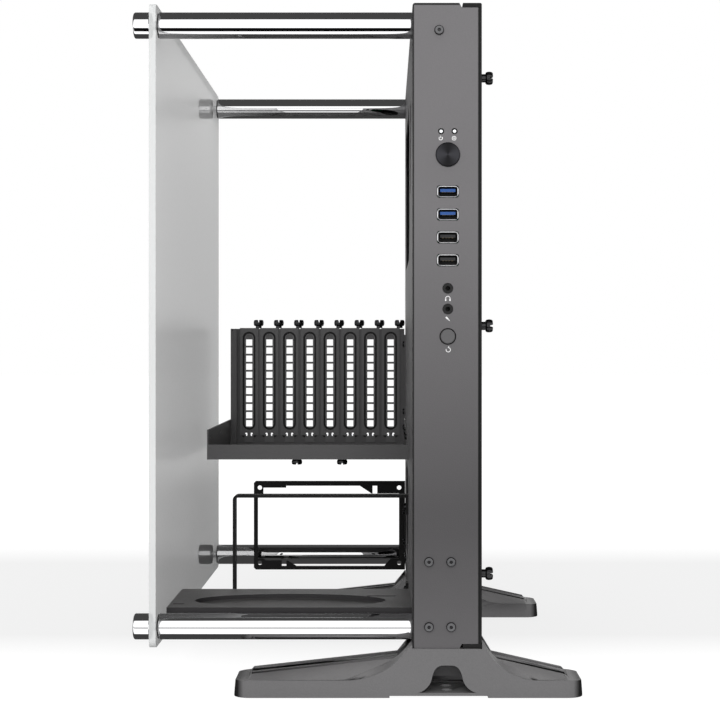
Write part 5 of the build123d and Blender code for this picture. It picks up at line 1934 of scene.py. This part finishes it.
@dataclass
class Studio:
    """White floor, soft light and the camera.

    Args:
        camera_place: Where the camera stands.
        lens: Focal length in millimetres, on a 36 mm wide sensor.
        shift: How far the picture is shifted, in picture widths.
        floor_half: Half of the floor's side.
        floor_light: Light that the floor gives by itself.
        floor_mirror: Share of mirror in the floor behind the front foot.
        mirror_start: Distance in front of the origin where the mirror begins.
        mirror_end: Distance behind the origin where it ends.
        softboxes: Name, place, size and power of each area light.
        cards: Name, lowest corner, highest corner and strength of each reflected card.
        bands: Start in degrees and brightness of each band that polished metal reflects.
        band_soft: Half of the blend between two bands, in degrees.
        front_fill: Soft light from the front.
        top_fill: Soft light from above.
        even_fill: Soft light from everywhere.
    """

    camera_place: tuple[float, float, float] = (0.021, -1.473, 0.2581)
    lens: float = 84.28
    shift: tuple[float, float] = (-26 / 720, -12 / 720)
    floor_half: float = 14.0
    floor_light: float = 0.98
    floor_mirror: float = 0.2
    mirror_start: float = 0.12
    mirror_end: float = 0.8
    softboxes: tuple[tuple[str, Corner, tuple[float, float], float], ...] = (
        ("front_softbox", (-0.3, -2.8, 1.1), (2.2, 2.0), 62.0),
        ("top_softbox", (0.0, 0.0, 2.4), (2.4, 2.4), 22.0),
        ("left_softbox", (-2.2, -0.6, 0.9), (1.4, 1.8), 5.0),
        ("right_softbox", (2.2, -0.4, 0.9), (1.4, 1.8), 9.0),
        ("back_softbox", (0.3, 2.6, 1.2), (2.2, 2.0), 14.0),
    )
    cards: tuple[tuple[str, Corner, Corner, float], ...] = (
        ("ceiling_card", (-3.0, -0.578, 0.867), (3.0, 2.0, 0.867), 0.06),
        ("front_card", (-3.0, -1.1, 0.0), (3.0, -0.5, 0.0), 0.004),
        ("under_card", (-3.0, -0.25, 0.0), (3.0, 2.0, 0.0), 0.05),
    )
    bands: tuple[tuple[int, float], ...] = (
        (-180, 1.0), (-160, 0.3), (-107, 0.05), (-90, 1.25), (57, 0.05), (150, 0.7), (165, 1.0),
    )
    band_soft: float = 1.2
    front_fill: float = 0.9
    top_fill: float = 0.35
    even_fill: float = 0.28

    def build(self) -> None:
        """Set up the camera, floor, lights and surroundings."""
        self.camera()
        self.floor()
        for name, place, size, power in self.softboxes:
            self.light(name, place, size, power)
        for name, low, high, strength in self.cards:
            self.card(name, low, high, strength)
        self.surroundings()

    def camera(self) -> None:
        """Place the camera level, looking along +Y."""
        data = bpy.data.cameras.new("photo_camera")
        data.sensor_width = 36.0
        data.lens = self.lens
        data.shift_x, data.shift_y = self.shift
        data.clip_start = 0.05
        data.clip_end = 60.0
        camera = bpy.data.objects.new("photo_camera", data)
        camera.location = self.camera_place
        camera.rotation_euler = (math.pi / 2, 0.0, 0.0)
        bpy.context.scene.collection.objects.link(camera)
        bpy.context.scene.camera = camera

    def floor(self) -> None:
        """Lay a white floor. Behind the front foot it mirrors what stands on it, faintly."""
        half = self.floor_half
        shape = level_sheet((-half, -half, 0.0), (half, half, 0.0))
        mesh = bpy.data.meshes.new("studio_floor")
        mesh.from_pydata(shape.points.tolist(), [], shape.faces)
        floor = bpy.data.objects.new("studio_floor", mesh)
        material = bpy.data.materials.new("studio_floor")
        material.use_nodes = True
        tree = material.node_tree
        shader = tree.nodes["Principled BSDF"]
        shader.inputs["Base Color"].default_value = (0.1, 0.1, 0.1, 1.0)
        shader.inputs["Roughness"].default_value = 0.9
        shader.inputs["Specular IOR Level"].default_value = 0.0
        shader.inputs["Emission Color"].default_value = WHITE
        shader.inputs["Emission Strength"].default_value = self.floor_light
        mirror = tree.nodes.new("ShaderNodeBsdfAnisotropic")
        mirror.inputs["Roughness"].default_value = 0.03
        mirror.inputs["Color"].default_value = WHITE
        place = tree.nodes.new("ShaderNodeTexCoord")
        split = tree.nodes.new("ShaderNodeSeparateXYZ")
        tree.links.new(place.outputs["Object"], split.inputs[0])
        start = maths(tree, "ADD", split.outputs["Y"], self.mirror_start)
        behind = clamped(tree, maths(tree, "MULTIPLY", start, 6.0))
        end = maths(tree, "SUBTRACT", self.mirror_end, split.outputs["Y"])
        near = clamped(tree, maths(tree, "MULTIPLY", end, 4.0))
        blend = tree.nodes.new("ShaderNodeMixShader")
        amount = maths(tree, "MULTIPLY", maths(tree, "MULTIPLY", behind, near), self.floor_mirror)
        tree.links.new(amount, blend.inputs[0])
        tree.links.new(shader.outputs[0], blend.inputs[1])
        tree.links.new(mirror.outputs[0], blend.inputs[2])
        tree.links.new(blend.outputs[0], tree.nodes["Material Output"].inputs["Surface"])
        mesh.materials.append(material)
        bpy.context.scene.collection.objects.link(floor)
        floor.visible_diffuse = False
        floor.visible_glossy = False

    def card(self, name: str, low: Corner, high: Corner, strength: float) -> None:
        """Hang a level card that shows only in reflections.

        Args:
            name: Name of the card.
            low: Its corner with the lowest X and Y.
            high: Its corner with the highest X and Y.
            strength: Strength of its light.
        """
        shape = level_sheet(low, high)
        mesh = bpy.data.meshes.new(name)
        mesh.from_pydata(shape.points.tolist(), [], shape.faces)
        material = bpy.data.materials.new(name)
        material.use_nodes = True
        shader = material.node_tree.nodes["Principled BSDF"]
        shader.inputs["Base Color"].default_value = (0.0, 0.0, 0.0, 1.0)
        shader.inputs["Specular IOR Level"].default_value = 0.0
        shader.inputs["Emission Color"].default_value = WHITE
        shader.inputs["Emission Strength"].default_value = strength
        mesh.materials.append(material)
        card = bpy.data.objects.new(name, mesh)
        bpy.context.scene.collection.objects.link(card)
        card.visible_camera = False
        card.visible_diffuse = False
        card.visible_shadow = False
        card.visible_transmission = False
        card.visible_volume_scatter = False

    def light(self, name: str, place: Corner, size: tuple[float, float], power: float) -> None:
        """Hang an area light that faces the middle of the chassis and shows in no reflection.

        Args:
            name: Name of the light.
            place: Where it hangs.
            size: Its width and height.
            power: Its power in watts.
        """
        data = bpy.data.lights.new(name, "AREA")
        data.shape = "RECTANGLE"
        data.size, data.size_y = size
        data.energy = power
        lamp = bpy.data.objects.new(name, data)
        lamp.location = place
        aim = np.array([0.0, 0.0, 0.25]) - np.array(place)
        flat = math.hypot(aim[0], aim[1])
        turn = math.atan2(aim[1], aim[0]) - math.pi / 2
        lamp.rotation_euler = (math.atan2(flat, -aim[2]), 0.0, turn)
        lamp.visible_glossy = False
        bpy.context.scene.collection.objects.link(lamp)

    def surroundings(self) -> None:
        """White behind the object, even soft light, and studio bands for polished metal."""
        world = bpy.data.worlds.new("studio")
        bpy.context.scene.world = world
        world.use_nodes = True
        tree = world.node_tree
        nodes, links = tree.nodes, tree.links
        background = nodes["Background"]
        path = nodes.new("ShaderNodeLightPath")
        place = nodes.new("ShaderNodeTexCoord")
        split = nodes.new("ShaderNodeSeparateXYZ")
        links.new(place.outputs["Generated"], split.inputs[0])
        ahead = maths(tree, "MULTIPLY", split.outputs["Y"], -1.0)
        angle = maths(tree, "ARCTAN2", split.outputs["Z"], ahead)
        share = maths(tree, "MULTIPLY_ADD", angle, 1 / (2 * math.pi))
        share.node.inputs[2].default_value = 0.5
        ramp = nodes.new("ShaderNodeValToRGB")
        stops = [(0.0, self.bands[0][1])]
        for (_, before), (start, value) in zip(self.bands, self.bands[1:]):
            stops += [((start - self.band_soft + 180) / 360, before),
                      ((start + self.band_soft + 180) / 360, value)]
        for number, (where, value) in enumerate(stops):
            if number < 2:
                stop = ramp.color_ramp.elements[number]
                stop.position = where
            else:
                stop = ramp.color_ramp.elements.new(where)
            stop.color = (value, value, value, 1.0)
        links.new(share, ramp.inputs["Fac"])
        front = maths(tree, "POWER", maths(tree, "MAXIMUM", ahead, 0.0), 2.0)
        above = maths(tree, "MAXIMUM", split.outputs["Z"], 0.0)
        lit = maths(tree, "ADD", maths(tree, "MULTIPLY", front, self.front_fill),
                    maths(tree, "MULTIPLY", above, self.top_fill))
        fill = nodes.new("ShaderNodeCombineColor")
        for label in ("Red", "Green", "Blue"):
            links.new(maths(tree, "ADD", lit, self.even_fill), fill.inputs[label])
        even = nodes.new("ShaderNodeMix")
        even.data_type = "RGBA"
        links.new(fill.outputs[0], even.inputs[6])
        links.new(path.outputs["Is Glossy Ray"], even.inputs[0])
        links.new(ramp.outputs["Color"], even.inputs[7])
        white = nodes.new("ShaderNodeMix")
        white.data_type = "RGBA"
        white.inputs[7].default_value = WHITE
        links.new(path.outputs["Is Camera Ray"], white.inputs[0])
        links.new(even.outputs[2], white.inputs[6])
        links.new(white.outputs[2], background.inputs["Color"])
        bpy.context.scene.view_settings.view_transform = "Standard"


def main() -> None:
    """Build the studio and every sub-assembly in order, and report each piece."""
    logging.basicConfig(level=logging.INFO, format="%(message)s")
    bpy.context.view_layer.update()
    Studio().build()
    shop = Workshop()
    parts = TurnedParts()
    SideWindow().build(shop)
    Body().build(shop, parts)
    Slots().build(shop, parts)
    PowerBay().build(shop)
    Feet().build(shop)
    Connectors().build(shop)
    for note in shop.notes:
        LOG.info("dressed %s", note)


if __name__ == "__main__":
    main()
